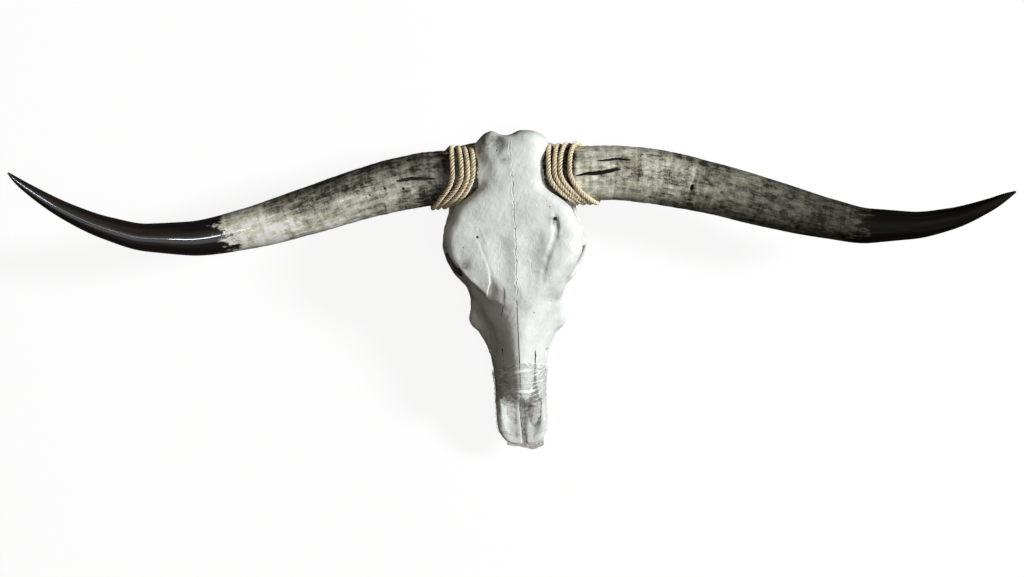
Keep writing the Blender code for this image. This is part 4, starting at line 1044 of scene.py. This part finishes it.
# How pale each horn is along its length: 0 is near black, 1 is cream, and below 0 it is darker still. The
# first stretch, under the ropes, is near black as painted shadow among the ropes as well as the horn's own
# dark base.
RIGHT_PALE = [(0, -0.9), (52, -0.9), (66, -0.5), (84, -0.28), (110, -0.04), (140, 0.20), (200, 0.28),
              (290, 0.30), (340, 0.56), (380, 0.80), (450, 0.92)]
LEFT_PALE = [(0, -0.9), (46, -0.9), (56, 0.50), (90, 0.54), (150, 0.38), (210, 0.28), (247, 0.24),
             (251, -0.14), (320, -0.28), (400, -0.54), (470, -0.68), (560, -0.74)]
# How strong the marks are along each horn.
RIGHT_MARKS = [(0, 1.2), (100, 1.35), (330, 1.35), (380, 1.10), (450, 1.0)]
LEFT_MARKS = [(0, 1.05), (120, 1.1), (200, 1.35), (250, 1.25), (300, 0.85), (440, 0.6), (560, 0.55)]
# The left horn's outer layer ends in a slanting edge.
LAYER_EDGE, LAYER_LEAN, LAYER_THICKNESS = 250.0, 8.0, 0.6
MID_TONE = 0.36  # below it the pattern keeps its contrast, and the whole surface darkens
RIGHT_BLACK, LEFT_BLACK = 432.0, 540.0  # where the black tip begins
RIGHT_PATTERN, LEFT_PATTERN = 140, 900  # where in the patterns each horn begins
FLAKE_DEPTH, SWELL_DEPTH = 0.28, 0.5
POLISH = 0.985  # how much of its relief the tip has lost
# Down here, the horn's underside, its points lie less close together: (from angle, to angle, how close).
UNDERSIDE = (205, 335, 0.6)
CRACK_CROWDING, CRACK_REACH = 1.6, 9


def spread(count, crowded):
    """Angles round a horn, closer together near the crowded ones."""
    fine = np.linspace(0, 360, 3601)
    start, end, under = UNDERSIDE
    weight = np.where((fine > start) & (fine < end), under, 1.0)
    for angle in crowded:
        weight += CRACK_CROWDING * np.exp(-(((fine - angle + 180) % 360 - 180) / CRACK_REACH) ** 2)
    total = np.concatenate([[0], np.cumsum(weight[:-1])])
    return np.interp(np.linspace(0, total[-1], count, endpoint=False), total, fine)


def cracked(s, a, thick, sway, cracks, pits):
    """How deep the cracks and pits are at each place along and round a horn, and how dark."""
    deep, dark = np.zeros(len(s)), np.zeros(len(s))
    for start, end, a0, a1, width, depth in cracks:
        t = np.clip((s - start) / (end - start), 0, 1)
        open_by = np.sqrt(np.maximum(4 * t * (1 - t), 0)) * (0.75 + 0.5 * t) + 0.02
        off = np.abs((a - a0 - (a1 - a0) * t) * thick + sway) / (width * open_by)
        deep += depth * fade(off, 1.5, 0.5) * (open_by > 0.1) * open_by
        dark = np.maximum(dark, fade(off, 1.7, 0.8) * (open_by > 0.1))
    for at, where, long, wide, depth in pits:
        off = np.hypot((s - at) / long, (a - where) * thick / wide)
        deep += depth * fade(off, 1.4, 0.5)
        dark = np.maximum(dark, min(depth / 1.8, 1) * fade(off, 1.4, 0.8))
    return deep, dark


def horn_piece(name, knots, cracks, pits, pale, marks, black, finish):
    """A horn's sheath, with its rings, flakes, cracks and pits, and what its material reads."""
    line, radius = horn_line(knots, HORN_SECTIONS)
    side = 1 if knots[0][0] > 0 else -1
    poll, up = across_horn(unit(np.gradient(line, axis=0)), side)
    angle = spread(HORN_SIDES, [crack[2] for crack in cracks[:2]])
    s, a = (grid.ravel() for grid in np.meshgrid(lengths_along(line), angle, indexing="ij"))
    turn = np.radians(a)
    r = np.repeat(radius, HORN_SIDES)
    pattern = np.column_stack([s, NOMINAL_RADIUS * np.cos(turn), NOMINAL_RADIUS * np.sin(turn)])
    pattern[:, 0] += LEFT_PATTERN if side > 0 else RIGHT_PATTERN
    s_layer = s - LAYER_LEAN * np.cos(turn) * (side > 0)

    coarse, fine = (Grain(seed) for seed in HORN_SEEDS)
    rough = 1 - POLISH * fade(s, black - 90, black + 25)
    rings = 0.55 * coarse.at(pattern, (13, 90, 90)) + 0.35 * fine.at(pattern, (5, 40, 40))
    ridges = 0.22 * fine.at(pattern, (50, 3.2, 3.2)) + 0.12 * coarse.at(pattern, (24, 1.8, 1.8))
    flaked = fade(coarse.layers(pattern, (13, 8, 8)), 0.15, 0.4) * fade(fine.at(pattern, 60), -0.5, 0.3)
    high = rough * (rings * fade(s, 420, 120) + ridges - FLAKE_DEPTH * flaked)
    high += SWELL_DEPTH * coarse.at(pattern, (70, 50, 50))
    if side > 0:
        high += LAYER_THICKNESS * fade(s_layer, LAYER_EDGE + 1.2, LAYER_EDGE - 1.2)
    sway = 1.3 * fine.at(pattern, (12, 200, 200)) + 0.5 * coarse.at(pattern, (4, 200, 200))
    deep, dark = cracked(s, a, np.radians(np.maximum(r, 2)), sway, cracks, pits)
    r = r + (high - deep) * fade(r, 1.0, 12.0)
    direction = np.cos(turn)[:, None] * np.repeat(poll, HORN_SIDES, 0)
    direction += np.sin(turn)[:, None] * np.repeat(up, HORN_SIDES, 0)
    points = np.repeat(line, HORN_SIDES, 0) + r[:, None] * direction
    quads = tube_faces(HORN_SECTIONS, HORN_SIDES)
    ends = [list(range(HORN_SIDES))[::-1], list(range(len(points) - HORN_SIDES, len(points)))]
    if side < 0:
        quads, ends = quads[:, ::-1], [end[::-1] for end in ends]
    piece = new_object(name + "_sheath", points, quads.tolist() + ends, finish)

    # the side towards the muzzle is paler, much more so on the right horn
    front = fade(a * (a < 270), 35, 120)
    if side < 0:
        paler = 0.95 * (front - 0.58) * fade(s, 60, 170) * (1 - 0.55 * fade(s, 300, 380))
    else:
        paler = 0.14 * (front - 0.5)
    tone = smooth(pale)(s_layer) + paler
    under = np.minimum(tone - MID_TONE, 0)
    attribute(piece, "pattern", pattern * MM)
    attribute(piece, "tone", tone - 0.75 * under)
    attribute(piece, "shade", np.exp(0.9 * under))
    attribute(piece, "marks", smooth(marks)(s))
    attribute(piece, "blackness", s - black - 14 * np.sin(turn * 1.5))
    attribute(piece, "dark", dark)
    attribute(piece, "flake", flaked)
    return piece


HORN_TONES = [(0.0, (0.044, 0.039, 0.029)), (0.2, (0.088, 0.083, 0.065)), (0.4, (0.170, 0.167, 0.138)),
              (0.6, (0.35, 0.35, 0.302)), (0.8, (0.64, 0.62, 0.52)), (1.0, (0.88, 0.86, 0.72))]
TAN = (0.66, 0.50, 0.30)
TIP_BLACK, TIP_BROWN, CRACK_BLACK = (0.0045, 0.0038, 0.0034), (0.019, 0.012, 0.007), (0.012, 0.009, 0.007)


def horn_finish(name, gloss, shine, coat, brown):
    """Worn horn, grey to cream, with streaks along it and bands across, and a polished black tip."""
    f = Finish(name)
    pattern, tone, black = f.read("pattern", "Vector"), f.read("tone"), f.read("blackness")
    mottle = f.noise(f.stretched(pattern, (1.0, 1.5, 1.5)), 60, 6, 0.68, 0.5)
    blotch = f.noise(f.stretched(pattern, (1.0, 1.3, 1.3)), 17, 3, 0.55)
    streaks = f.noise(f.stretched(pattern, (0.13, 1, 1)), 330, 4, 0.65)
    long_streaks = f.noise(f.stretched(pattern, (0.06, 1, 1)), 120, 3, 0.55)
    bands = f.noise(f.stretched(pattern, (1, 0.10, 0.10)), 105, 3, 0.6)
    grain = f.noise(pattern, 430, 4, 0.7)
    chips = f.cells(f.stretched(pattern, (0.75, 1, 1)), 150)
    rings = f.cells(f.stretched(pattern, (0.8, 1, 1)), 62)

    marks = f.swing(mottle, 1.35)
    for part, amount in ((blotch, 0.9), (streaks, 0.8), (long_streaks, 0.7), (bands, 0.8), (grain, 0.9)):
        marks = f.plus(marks, f.swing(part, amount))
    value = f.plus(tone, f.times(marks, f.read("marks")))
    value = f.plus(value, f.times(f.read("flake"), 0.16))
    value = f.plus(value, f.between(chips, 0.0, 0.14, 0.20, 0.0))
    ring = f.times(f.between(rings, 0.10, 0.16), f.between(rings, 0.24, 0.17))
    ringed = f.between(f.noise(pattern, 23, 1), 0.55, 0.65, 0.0, 0.14)
    value = f.plus(value, f.times(ring, ringed))
    ramp = f.node("ValToRGB", {"Fac": value})
    stops = ramp.color_ramp.elements
    for at, colour in HORN_TONES:
        stop = stops[0] if at == 0.0 else stops[1] if at == 1.0 else stops.new(at)
        stop.position, stop.color = at, (*colour, 1)
    colour = f.mix(f.math("SUBTRACT", 1.0, f.read("shade")), ramp.outputs["Color"], BLACK)
    tan = f.between(f.noise(f.stretched(pattern, (1, 0.6, 0.6)), 45, 4, 0.6), 0.52, 0.72, 0.0, brown)
    colour = f.mix(tan, colour, TAN, "MULTIPLY")

    edge = f.plus(black, f.swing(f.noise(f.stretched(pattern, (0.35, 1, 1)), 95, 4, 0.65), 150))
    edge = f.plus(edge, f.swing(f.noise(pattern, 170, 3, 0.6), 44))
    tip = f.between(edge, -9, 9)
    ebony = f.mix(f.between(long_streaks, 0.46, 0.66), TIP_BLACK, TIP_BROWN)
    colour = f.mix(tip, colour, ebony)
    colour = f.mix(f.between(f.read("dark"), 0.2, 0.8), colour, CRACK_BLACK)
    f.set("Base Color", colour)
    mottled = f.between(mottle, 0.3, 0.7, 0.42, 0.6)
    f.set("Roughness", f.node("MapRange", {"Value": tip, "To Min": mottled, "To Max": gloss}).outputs["Result"])
    f.set("Specular IOR Level", shine)
    f.set("Coat Weight", f.between(edge, -70, 0, 0.06 * coat, coat) if coat else 0.0)
    f.set("Coat Roughness", 0.035)
    rough = f.math("SUBTRACT", 1.0, f.times(tip, coat))
    height = f.plus(f.times(streaks, 0.7), f.times(mottle, 0.6))
    normal = f.bump(f.times(height, rough), 0.5, 0.0009)
    normal = f.bump(f.times(grain, rough), 0.35, 0.0004, normal)
    f.set("Normal", normal)
    f.set("Coat Normal", normal)
    return f.material


# ---------------------------------------------------------------- ropes

STRAND_RADIUS = 1.82
STRAND_OFFSET = 2.22
ROPE_PITCH = 18.0
STRAND_SIDES = 12
STRAND_STEP = 1.1
FUZZ_HAIRS = 620
FUZZ_RADIUS, FRAYED_RADIUS = 0.13, 0.26
ROPE_TURN_STEPS = 200  # points for each turn of the rope's path
TAPER = 6.0  # the strands thin out over this length at both ends
# Frayed ends: (middle, heading, hairs, length, spread).
RIGHT_TAIL = ((-107, 224, 151), (-0.9, 0.12, 0.05), 70, 12, 0.28)
LEFT_TAIL = ((104, 231, 153), (1.0, 0.02, 0.0), 110, 19, 0.16)
STRAW_LIGHT, STRAW, STRAW_BROWN, STRAND_GAP_SHADE = ((1.0, 0.92, 0.70), (0.72, 0.56, 0.35), (0.40, 0.29, 0.16),
                                                    (0.030, 0.019, 0.010))


def frames(path):
    """Directions ahead, out and across along a path, without twist."""
    ahead = unit(np.gradient(path, axis=0))
    out = np.zeros_like(path)
    out[0] = unit(np.cross(ahead[0], (0.3, 0.2, 1.0)))
    for i in range(1, len(path)):
        out[i] = unit(out[i - 1] - (out[i - 1] @ ahead[i]) * ahead[i])
    return ahead, out, np.cross(ahead, out)


def even_path(points, step):
    """The same path, with its points evenly spaced."""
    along = lengths_along(points)
    at = np.linspace(0, along[-1], max(int(along[-1] / step), 4))
    return np.column_stack([np.interp(at, along, points[:, k]) for k in range(3)]), at


def tube(path, radii, sides, start, lobes):
    """Points and faces of a closed bar along a path, numbered from start."""
    _, out, across = frames(path)
    turn = np.linspace(0, 2 * math.pi, sides, endpoint=False)
    reach = np.asarray(radii)[:, None] * (1 + lobes * np.cos(5 * turn)[None])
    points = path[:, None] + reach[..., None] * (
        np.cos(turn)[None, :, None] * out[:, None] + np.sin(turn)[None, :, None] * across[:, None])
    faces = tube_faces(len(path), sides, start).tolist()
    last = start + (len(path) - 1) * sides
    faces += [list(range(start, start + sides))[::-1], list(range(last, last + sides))]
    return points.reshape(-1, 3), faces


def rope_piece(name, knots, turns, tail, seed, finish):
    """Three strands laid together, with loose fibres and a frayed end."""
    chance = np.random.default_rng(seed)
    path, at = even_path(rope_path(knots, turns, ROPE_TURN_STEPS), STRAND_STEP)
    line_of_path = np.column_stack([at, at * 0, at * 0])
    wobble = Grain(seed + 1).at(line_of_path, (40, 1, 1))
    ahead, out, across = frames(path)
    ends = fade(at, 0, TAPER) * fade(at, at[-1], at[-1] - TAPER)
    points, faces, lay, depth = [], [], [], []
    total = 0

    def add(line, radii, sides, tone, lobes=0.0, middle=None):
        nonlocal total
        new, quads = tube(line, radii, sides, total, lobes)
        total += len(new)
        points.append(new)
        faces.extend(quads)
        length = np.repeat(np.arange(len(line)) * STRAND_STEP, sides)
        turn = np.tile(np.linspace(0, 2 * math.pi, sides, endpoint=False), len(line))
        lay.append(np.column_stack([length + 60 * seed + 37 * tone, 2 * np.cos(turn), 2 * np.sin(turn)]))
        if middle is None:
            depth.append(np.full(len(new), 1.0))
        else:
            # how deep each point lies in the rope, which the material darkens as painted shade between the
            # strands
            away = np.linalg.norm(new - np.repeat(middle, sides, 0), axis=1)
            depth.append(fade(away, 0.52 * ROPE_RADIUS, 0.95 * ROPE_RADIUS))

    for strand in range(3):
        turn = 2 * math.pi * (at / ROPE_PITCH + strand / 3) + 0.5 * wobble
        offset = STRAND_OFFSET * (1 + 0.07 * wobble)
        line = path + (offset * np.cos(turn))[:, None] * out + (offset * np.sin(turn))[:, None] * across
        uneven = 1 + 0.09 * Grain(seed + 5 + strand).at(line_of_path, (9, 1, 1))
        add(line, STRAND_RADIUS * uneven * (0.35 + 0.65 * ends), STRAND_SIDES, strand + 1.0, 0.05, path)
    for _ in range(FUZZ_HAIRS):
        k = chance.integers(2, len(path) - 2)
        turn = chance.random() * 2 * math.pi
        outward = math.cos(turn) * out[k] + math.sin(turn) * across[k]
        lean = ahead[k] * chance.choice([-1, 1]) + chance.normal(0, 0.35, 3)
        length = 2.0 + 5.5 * chance.random() ** 2
        t = np.linspace(0, 1, 4)[:, None]
        hair = path[k] + outward * (3.5 + 1.5 * t + 1.3 * length / 5 * t**2) + lean * length * t
        add(hair, FUZZ_RADIUS * (1.2 - t[:, 0]), 3, chance.random() * 9)
    centre, heading, count, length, apart = tail
    for _ in range(count):
        t = np.linspace(0, 1, 7)[:, None]
        drift = np.asarray(heading) + chance.normal(0, apart, 3)
        long = length * (0.5 + 0.6 * chance.random())
        start = np.asarray(centre) + chance.normal(0, 1.5, 3)
        curl = chance.normal(0, 1.6, 3)
        hair = start + drift * long * t + curl * np.sin(3.0 * t)
        add(hair, FRAYED_RADIUS * (1.15 - t[:, 0]), 3, chance.random() * 9)
    piece = new_object(name + "_strands", np.concatenate(points), faces, finish)
    attribute(piece, "lay", np.concatenate(lay) * MM)
    attribute(piece, "outer", np.concatenate(depth))
    return piece


def rope_finish(name, shade):
    """Dry straw-coloured plant fibre, with painted shade between the strands."""
    light, straw, brown = (tuple(c * shade for c in colour) for colour in (STRAW_LIGHT, STRAW, STRAW_BROWN))
    f = Finish(name)
    lay, outer = f.read("lay", "Vector"), f.read("outer")
    fibres = f.noise(f.stretched(lay, (0.16, 1, 1)), 1500, 3, 0.6)
    patches = f.noise(lay, 90, 2, 0.5)
    colour = f.mix(f.between(fibres, 0.35, 0.68), straw, light)
    colour = f.mix(f.between(patches, 0.44, 0.72, 0.0, 0.42), colour, brown)
    # painted shade: near black deep between the strands
    colour = f.mix(f.between(outer, 0.90, 0.36, 0.0, 0.97), colour, STRAND_GAP_SHADE)
    f.set("Base Color", colour)
    f.set("Roughness", 0.85)
    f.set("Specular IOR Level", 0.2)
    f.set("Normal", f.bump(fibres, 0.7, 0.0005))
    return f.material


# ---------------------------------------------------------------- film

FILM_START, FILM_END = 394.0, 536.0
FILM_LEAN, FILM_MIDDLE = 0.15, 80.0
FILM_LOWEST = 24.0
FILM_CLEARANCE = 1.0
FILM_SECTIONS, FILM_SIDES = ((190, 260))
FILM_BRIDGE = 7.0  # the film spans hollows this far along the muzzle
FILM_EVENING = 4.0  # and its girth changes evenly over this much each way
FILM_SLANT = 6.0  # how much further forward its upper edge lies on the right side
FILM_THICK = 45.0  # the creases' pattern is laid out as if the muzzle were this thick
CREASE_SHARPNESS = 1.6
# Where along the muzzle the film turns clearer, its underside greyer, as bunched film and as painted shade
# seen through the openings, and its loose end bunched.
CLEARER, GREYER, BUNCHED = (444, 466), (420, 440), (515, 531)
FLAP_START, FLAP_PRESSED = 500.0, 529.0
FLAP_HALF, FLAP_MIDDLE, FLAP_HEIGHT = 31.5, (4.5, 51.0), 1.6
FLAP_EDGE = [(-30, -5.0), (-18, -1.5), (-6, -0.5), (6, 2.0), (18, 5.0), (28, 1.0), (37, -3.0)]
FILM_CLEAR, FILM_SMEAR, FILM_CREASE_GLINT = (0.62, 0.62, 0.60), (0.50, 0.49, 0.455), (0.97, 0.98, 0.97)
FLAP_DARK, FLAP_PALE, UNDER_GREY_SHADE = (0.25, 0.23, 0.205), (0.43, 0.41, 0.385), (0.40, 0.375, 0.34)


def film_girth(bones, at, around, lean):
    """How far the film stands from its middle, for each place along the muzzle and each direction."""
    points = np.concatenate([in_skull(points_of(bone.data) / MM) for bone in bones])
    points = points[(points[:, 1] > FILM_START - 30) & (points[:, 2] > FILM_LOWEST)]
    ahead = np.stack([np.cos(around), np.sin(around)], 1)
    reach = np.empty((len(at), FILM_SIDES))
    for i, u in enumerate(at):
        off = points[:, 1] - u + lean[i] * (points[:, 2] - FILM_MIDDLE)
        near = points[np.abs(off) < FILM_BRIDGE][:, [0, 2]]
        if len(near) > 40:
            reach[i] = ((near - FLAP_MIDDLE) @ ahead.T).max(0) + FILM_CLEARANCE
        else:
            reach[i] = reach[i - 1]
    width = max(int(FILM_EVENING * FILM_SECTIONS / (FILM_END - FILM_START)), 1)
    padded = np.pad(reach, [(width, width), (0, 0)], mode="edge")
    reach = np.mean([padded[k:k + len(at)] for k in range(2 * width + 1)], axis=0)
    # how far each direction goes before it leaves the narrowest band that holds the bone
    apart = np.cos(around[:, None] - around[None])
    return np.where(apart > 0.1, reach[:, None, :] / np.maximum(apart, 0.1), BEYOND).min(2)


def film_piece(bones, finish):
    """Clear film drawn tight round the muzzle, creased across, with its loose end pressed flat."""
    around = np.linspace(0, 2 * math.pi, FILM_SIDES, endpoint=False)
    at = np.linspace(FILM_START, FILM_END, FILM_SECTIONS)
    lean = FILM_LEAN * (at[-1] - at) / (at[-1] - at[0])
    girth = film_girth(bones, at, around, lean)
    flat = np.hypot(np.cos(around) / FLAP_HALF, np.sin(around) / FLAP_HEIGHT) ** -1
    pressed = fade(at, FLAP_START, FLAP_PRESSED)[:, None] ** 1.5
    tall = girth * np.abs(np.sin(around))
    wide = girth * np.cos(around) * (1 - pressed) + pressed * flat * np.cos(around)
    high = np.sign(np.sin(around)) * (tall * (1 - pressed) + pressed * flat * np.abs(np.sin(around)))

    u_grid, turn = np.meshgrid(at, around, indexing="ij")
    cells = np.stack([u_grid, FILM_THICK * np.cos(turn), FILM_THICK * np.sin(turn)], -1).reshape(-1, 3)
    drawn = cells.copy()
    drawn[:, 0] += 0.010 * cells[:, 1] ** 2 * np.sign(cells[:, 2])
    coarse, fine = (Grain(seed) for seed in FILM_SEEDS)
    crease = 1 - np.abs(coarse.at(drawn, (5.5, 26, 26))) * CREASE_SHARPNESS
    small = 1 - np.abs(fine.at(drawn + 0.35 * drawn[:, ::-1], (2.6, 16, 16))) * CREASE_SHARPNESS
    crease, small = np.maximum(crease, 0) ** 3, np.maximum(small, 0) ** 3
    lift = 0.85 * crease + 0.40 * small + 0.35 * coarse.at(cells, (14, 20, 20)) + 0.35
    lift = lift.reshape(u_grid.shape) * (1 - 0.6 * pressed)
    scale = 1 + lift / np.maximum(np.hypot(wide, high), 8)
    x = FLAP_MIDDLE[0] + wide * scale
    z = FLAP_MIDDLE[1] + high * scale
    length = u_grid - lean[:, None] * (z - FILM_MIDDLE)
    nibbled = 0.9 * fine.at(np.stack([x, x * 0, z], -1).reshape(-1, 3), 3).reshape(x.shape)
    length = length + (smooth(FLAP_EDGE)(x) + nibbled) * fade(u_grid, FLAP_START + 10, FILM_END)
    ragged = 1.2 * fine.at(cells, (6, 6, 6)).reshape(x.shape) * fade(u_grid, FILM_START + 6, FILM_START)
    slant = FILM_SLANT * fade(x, 12, -18) * fade(u_grid, FILM_START + 40, FILM_START)
    places = np.stack([x, length + ragged + slant, z], -1).reshape(-1, 3)
    piece = new_object("muzzle_wrap", in_model(places), tube_faces(len(at), FILM_SIDES).tolist(), finish)
    attribute(piece, "crease", np.maximum(crease, small * 0.8))
    attribute(piece, "rim", fade(u_grid, FILM_START + 2.2, FILM_START).ravel())
    attribute(piece, "flap", fade(u_grid, *BUNCHED).ravel())
    attribute(piece, "front", fade(u_grid, *CLEARER).ravel())
    attribute(piece, "under", (fade(-np.sin(turn), 0.1, 0.8) * fade(u_grid, *GREYER)).ravel())
    attribute(piece, "drawn", drawn * MM)
    return piece


def film_finish():
    """Clear film: hazy, whiter along its creases and streaks as painted glints, greyer underneath as painted
    shade and bunched film, and dull grey-brown where its loose end is bunched.
    """
    f = Finish("clear_film")
    drawn, crease, flap = f.read("drawn", "Vector"), f.read("crease"), f.read("flap")
    lines = f.noise(f.stretched(drawn, (1, 0.16, 0.16)), 420, 4, 0.65, 0.5)
    smear = f.noise(drawn, 60, 3, 0.6)
    # painted glints: whiter and more opaque along the creases and fine streaks
    crease_glint = f.plus(f.between(crease, 0.35, 0.85), f.between(lines, 0.57, 0.68), True)
    colour = f.mix(f.between(smear, 0.35, 0.65), FILM_CLEAR, FILM_SMEAR)
    colour = f.mix(crease_glint, colour, FILM_CREASE_GLINT)
    colour = f.mix(flap, colour, f.mix(f.between(lines, 0.4, 0.6), FLAP_DARK, FLAP_PALE))
    # the underside: greyer and thicker, for bunched film and as painted shade seen through the openings
    under = f.read("under")
    f.set("Base Color", f.mix(under, colour, UNDER_GREY_SHADE))
    haze = f.plus(f.between(smear, 0.35, 0.65, 0.24, 0.38), f.times(crease_glint, 0.50))
    haze = f.times(haze, f.math("SUBTRACT", 1.0, f.times(f.read("front"), 0.62)))
    thicker = f.math("MAXIMUM", f.times(flap, 0.42), f.times(under, 0.74))
    haze = f.plus(haze, thicker)
    haze = f.plus(haze, f.times(f.read("rim"), 0.4), True)
    f.set("Alpha", haze)
    f.set("Roughness", 0.16)
    f.set("IOR", 1.5)
    f.set("Normal", f.bump(lines, 0.6, 0.0006))
    return f.material


# ---------------------------------------------------------------- stage, light and camera

CAMERA_HEIGHT = 2.525
LENS = 50.0
SENSOR = 36.0
CAMERA_REACH = 100.0
FLOOR_SIZE, FLOOR_DROP, BACKDROP_RADIUS = 40.0, 0.0004, 19.0
FLOOR_TONE, FLOOR_GLOW = (0.12, 0.12, 0.12, 1), 0.9
ROOM_COLOUR, ROOM_STRENGTH = (1.0, 0.89, 0.69, 1), 0.034
NEAR_WHITE, WARM, COOL, SKY = (0.98, 1.0, 1.0), (1.0, 0.96, 0.88), (0.90, 0.95, 1.0), (0.82, 0.90, 1.0)
# Lamps: (name, place, what it faces, its sides, watts, colour, whether it shows only as a reflection).
LAMPS = [
    ("key", (5.2, 0.9, 3.1), (0, 0.1, 0.1), (1.0, 1.0), 480.0, NEAR_WHITE, False),
    ("strip", (-0.45, -0.35, 2.9), (-0.45, 0.1, 0.1), (2.4, 0.10), 8.0, WARM, False),
    ("spark", (0.62, -0.25, 2.8), (-0.7, 0.15, 0.2), (0.45, 0.25), 5.5, WARM, False),
    ("glint", (-0.80, -0.33, 2.9), (-0.80, 0.1, 0.1), (0.76, 0.14), 20.0, COOL, True),
    ("band", (-0.8, -1.25, 2.4), (-0.6, 0.1, 0.1), (1.6, 0.9), 4.5, SKY, True),
]


def stage():
    """A pale floor and backdrop, evenly bright, which throw no light back on the object."""
    pale = bpy.data.materials.new("pale")
    pale.use_nodes = True
    surface = pale.node_tree.nodes["Principled BSDF"]
    for key, value in (("Base Color", FLOOR_TONE), ("Roughness", 1.0), ("Specular IOR Level", 0.0),
                       ("Emission Color", (1, 1, 1, 1)), ("Emission Strength", FLOOR_GLOW)):
        surface.inputs[key].default_value = value
    bpy.ops.mesh.primitive_plane_add(size=FLOOR_SIZE, location=(0, 0, -FLOOR_DROP))
    floor = bpy.context.object
    floor.name = "floor"
    bpy.ops.mesh.primitive_uv_sphere_add(radius=BACKDROP_RADIUS, segments=48, ring_count=24)
    backdrop = bpy.context.object
    backdrop.name = "backdrop"
    for thing in (floor, backdrop):
        thing.data.materials.append(pale)
        thing.visible_diffuse = False
        thing.visible_glossy = False
        thing.visible_transmission = False
    backdrop.visible_shadow = False


def light():
    """The lamps, and the faint warm light that comes from all round."""
    for name, place, target, size, power, colour, shine_only in LAMPS:
        data = bpy.data.lights.new(name, "AREA")
        data.shape = "RECTANGLE"
        data.size, data.size_y = size
        data.energy = power
        data.color = colour
        lamp = bpy.data.objects.new(name, data)
        lamp.location = place
        lamp.rotation_euler = (Vector(place) - Vector(target)).to_track_quat("Z", "Y").to_euler()
        lamp.visible_diffuse = not shine_only
        bpy.context.scene.collection.objects.link(lamp)
    world = bpy.data.worlds.new("room")
    bpy.context.scene.world = world
    world.use_nodes = True
    air = world.node_tree.nodes["Background"]
    air.inputs["Color"].default_value = ROOM_COLOUR
    air.inputs["Strength"].default_value = ROOM_STRENGTH


def camera():
    """A camera straight above, as the photo was taken."""
    data = bpy.data.cameras.new("camera")
    data.lens = LENS
    data.sensor_width = SENSOR
    data.clip_end = CAMERA_REACH
    eye = bpy.data.objects.new("camera", data)
    eye.location = (0, 0, CAMERA_HEIGHT)
    bpy.context.scene.collection.objects.link(eye)
    bpy.context.scene.camera = eye


def stand_for(piece, node):
    """The piece takes the place of a node of the CAD model."""
    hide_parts(node)
    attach(piece, "root")


def main():
    """Builds the scene: each piece stands for one node of the CAD model."""
    camera()
    light()
    stage()
    bpy.context.scene.view_settings.view_transform = "Standard"

    skull = skull_field(GRID_STEP)
    solid = (skull.distance < 0).astype(np.float32)
    hollows = [box_mean(solid, round(reach / GRID_STEP)) for reach in HOLLOW_REACHES]
    finish = bone_finish()
    bones = {name: bone_piece(name, skull, hollows, finish) for name in BONE_BOXES}
    for name, piece in bones.items():
        stand_for(piece, name)
    wrap = film_piece([piece for name, piece in bones.items() if name != "cranium"], film_finish())
    stand_for(wrap, "muzzle_film")
    polished = horn_finish("polished_horn", gloss=0.42, shine=0.40, coat=1.0, brown=0.42)
    right = horn_piece("horn_right", RIGHT_HORN, RIGHT_CRACKS, RIGHT_PITS, RIGHT_PALE, RIGHT_MARKS,
                       RIGHT_BLACK, polished)
    stand_for(right, "horn_right")
    dull = horn_finish("dull_horn", gloss=0.5, shine=0.10, coat=0.0, brown=0.45)
    left = horn_piece("horn_left", LEFT_HORN, LEFT_CRACKS, LEFT_PITS, LEFT_PALE, LEFT_MARKS, LEFT_BLACK, dull)
    stand_for(left, "horn_left")
    for name, knots, turns, tail, seed, shade in (
            ("rope_right", RIGHT_HORN, RIGHT_ROPE, RIGHT_TAIL, RIGHT_ROPE_SEED, ("brown_rope", 0.95)),
            ("rope_left", LEFT_HORN, LEFT_ROPE, LEFT_TAIL, LEFT_ROPE_SEED, ("straw_rope", 1.0))):
        stand_for(rope_piece(name, knots, turns, tail, seed, rope_finish(*shade)), name)


main()
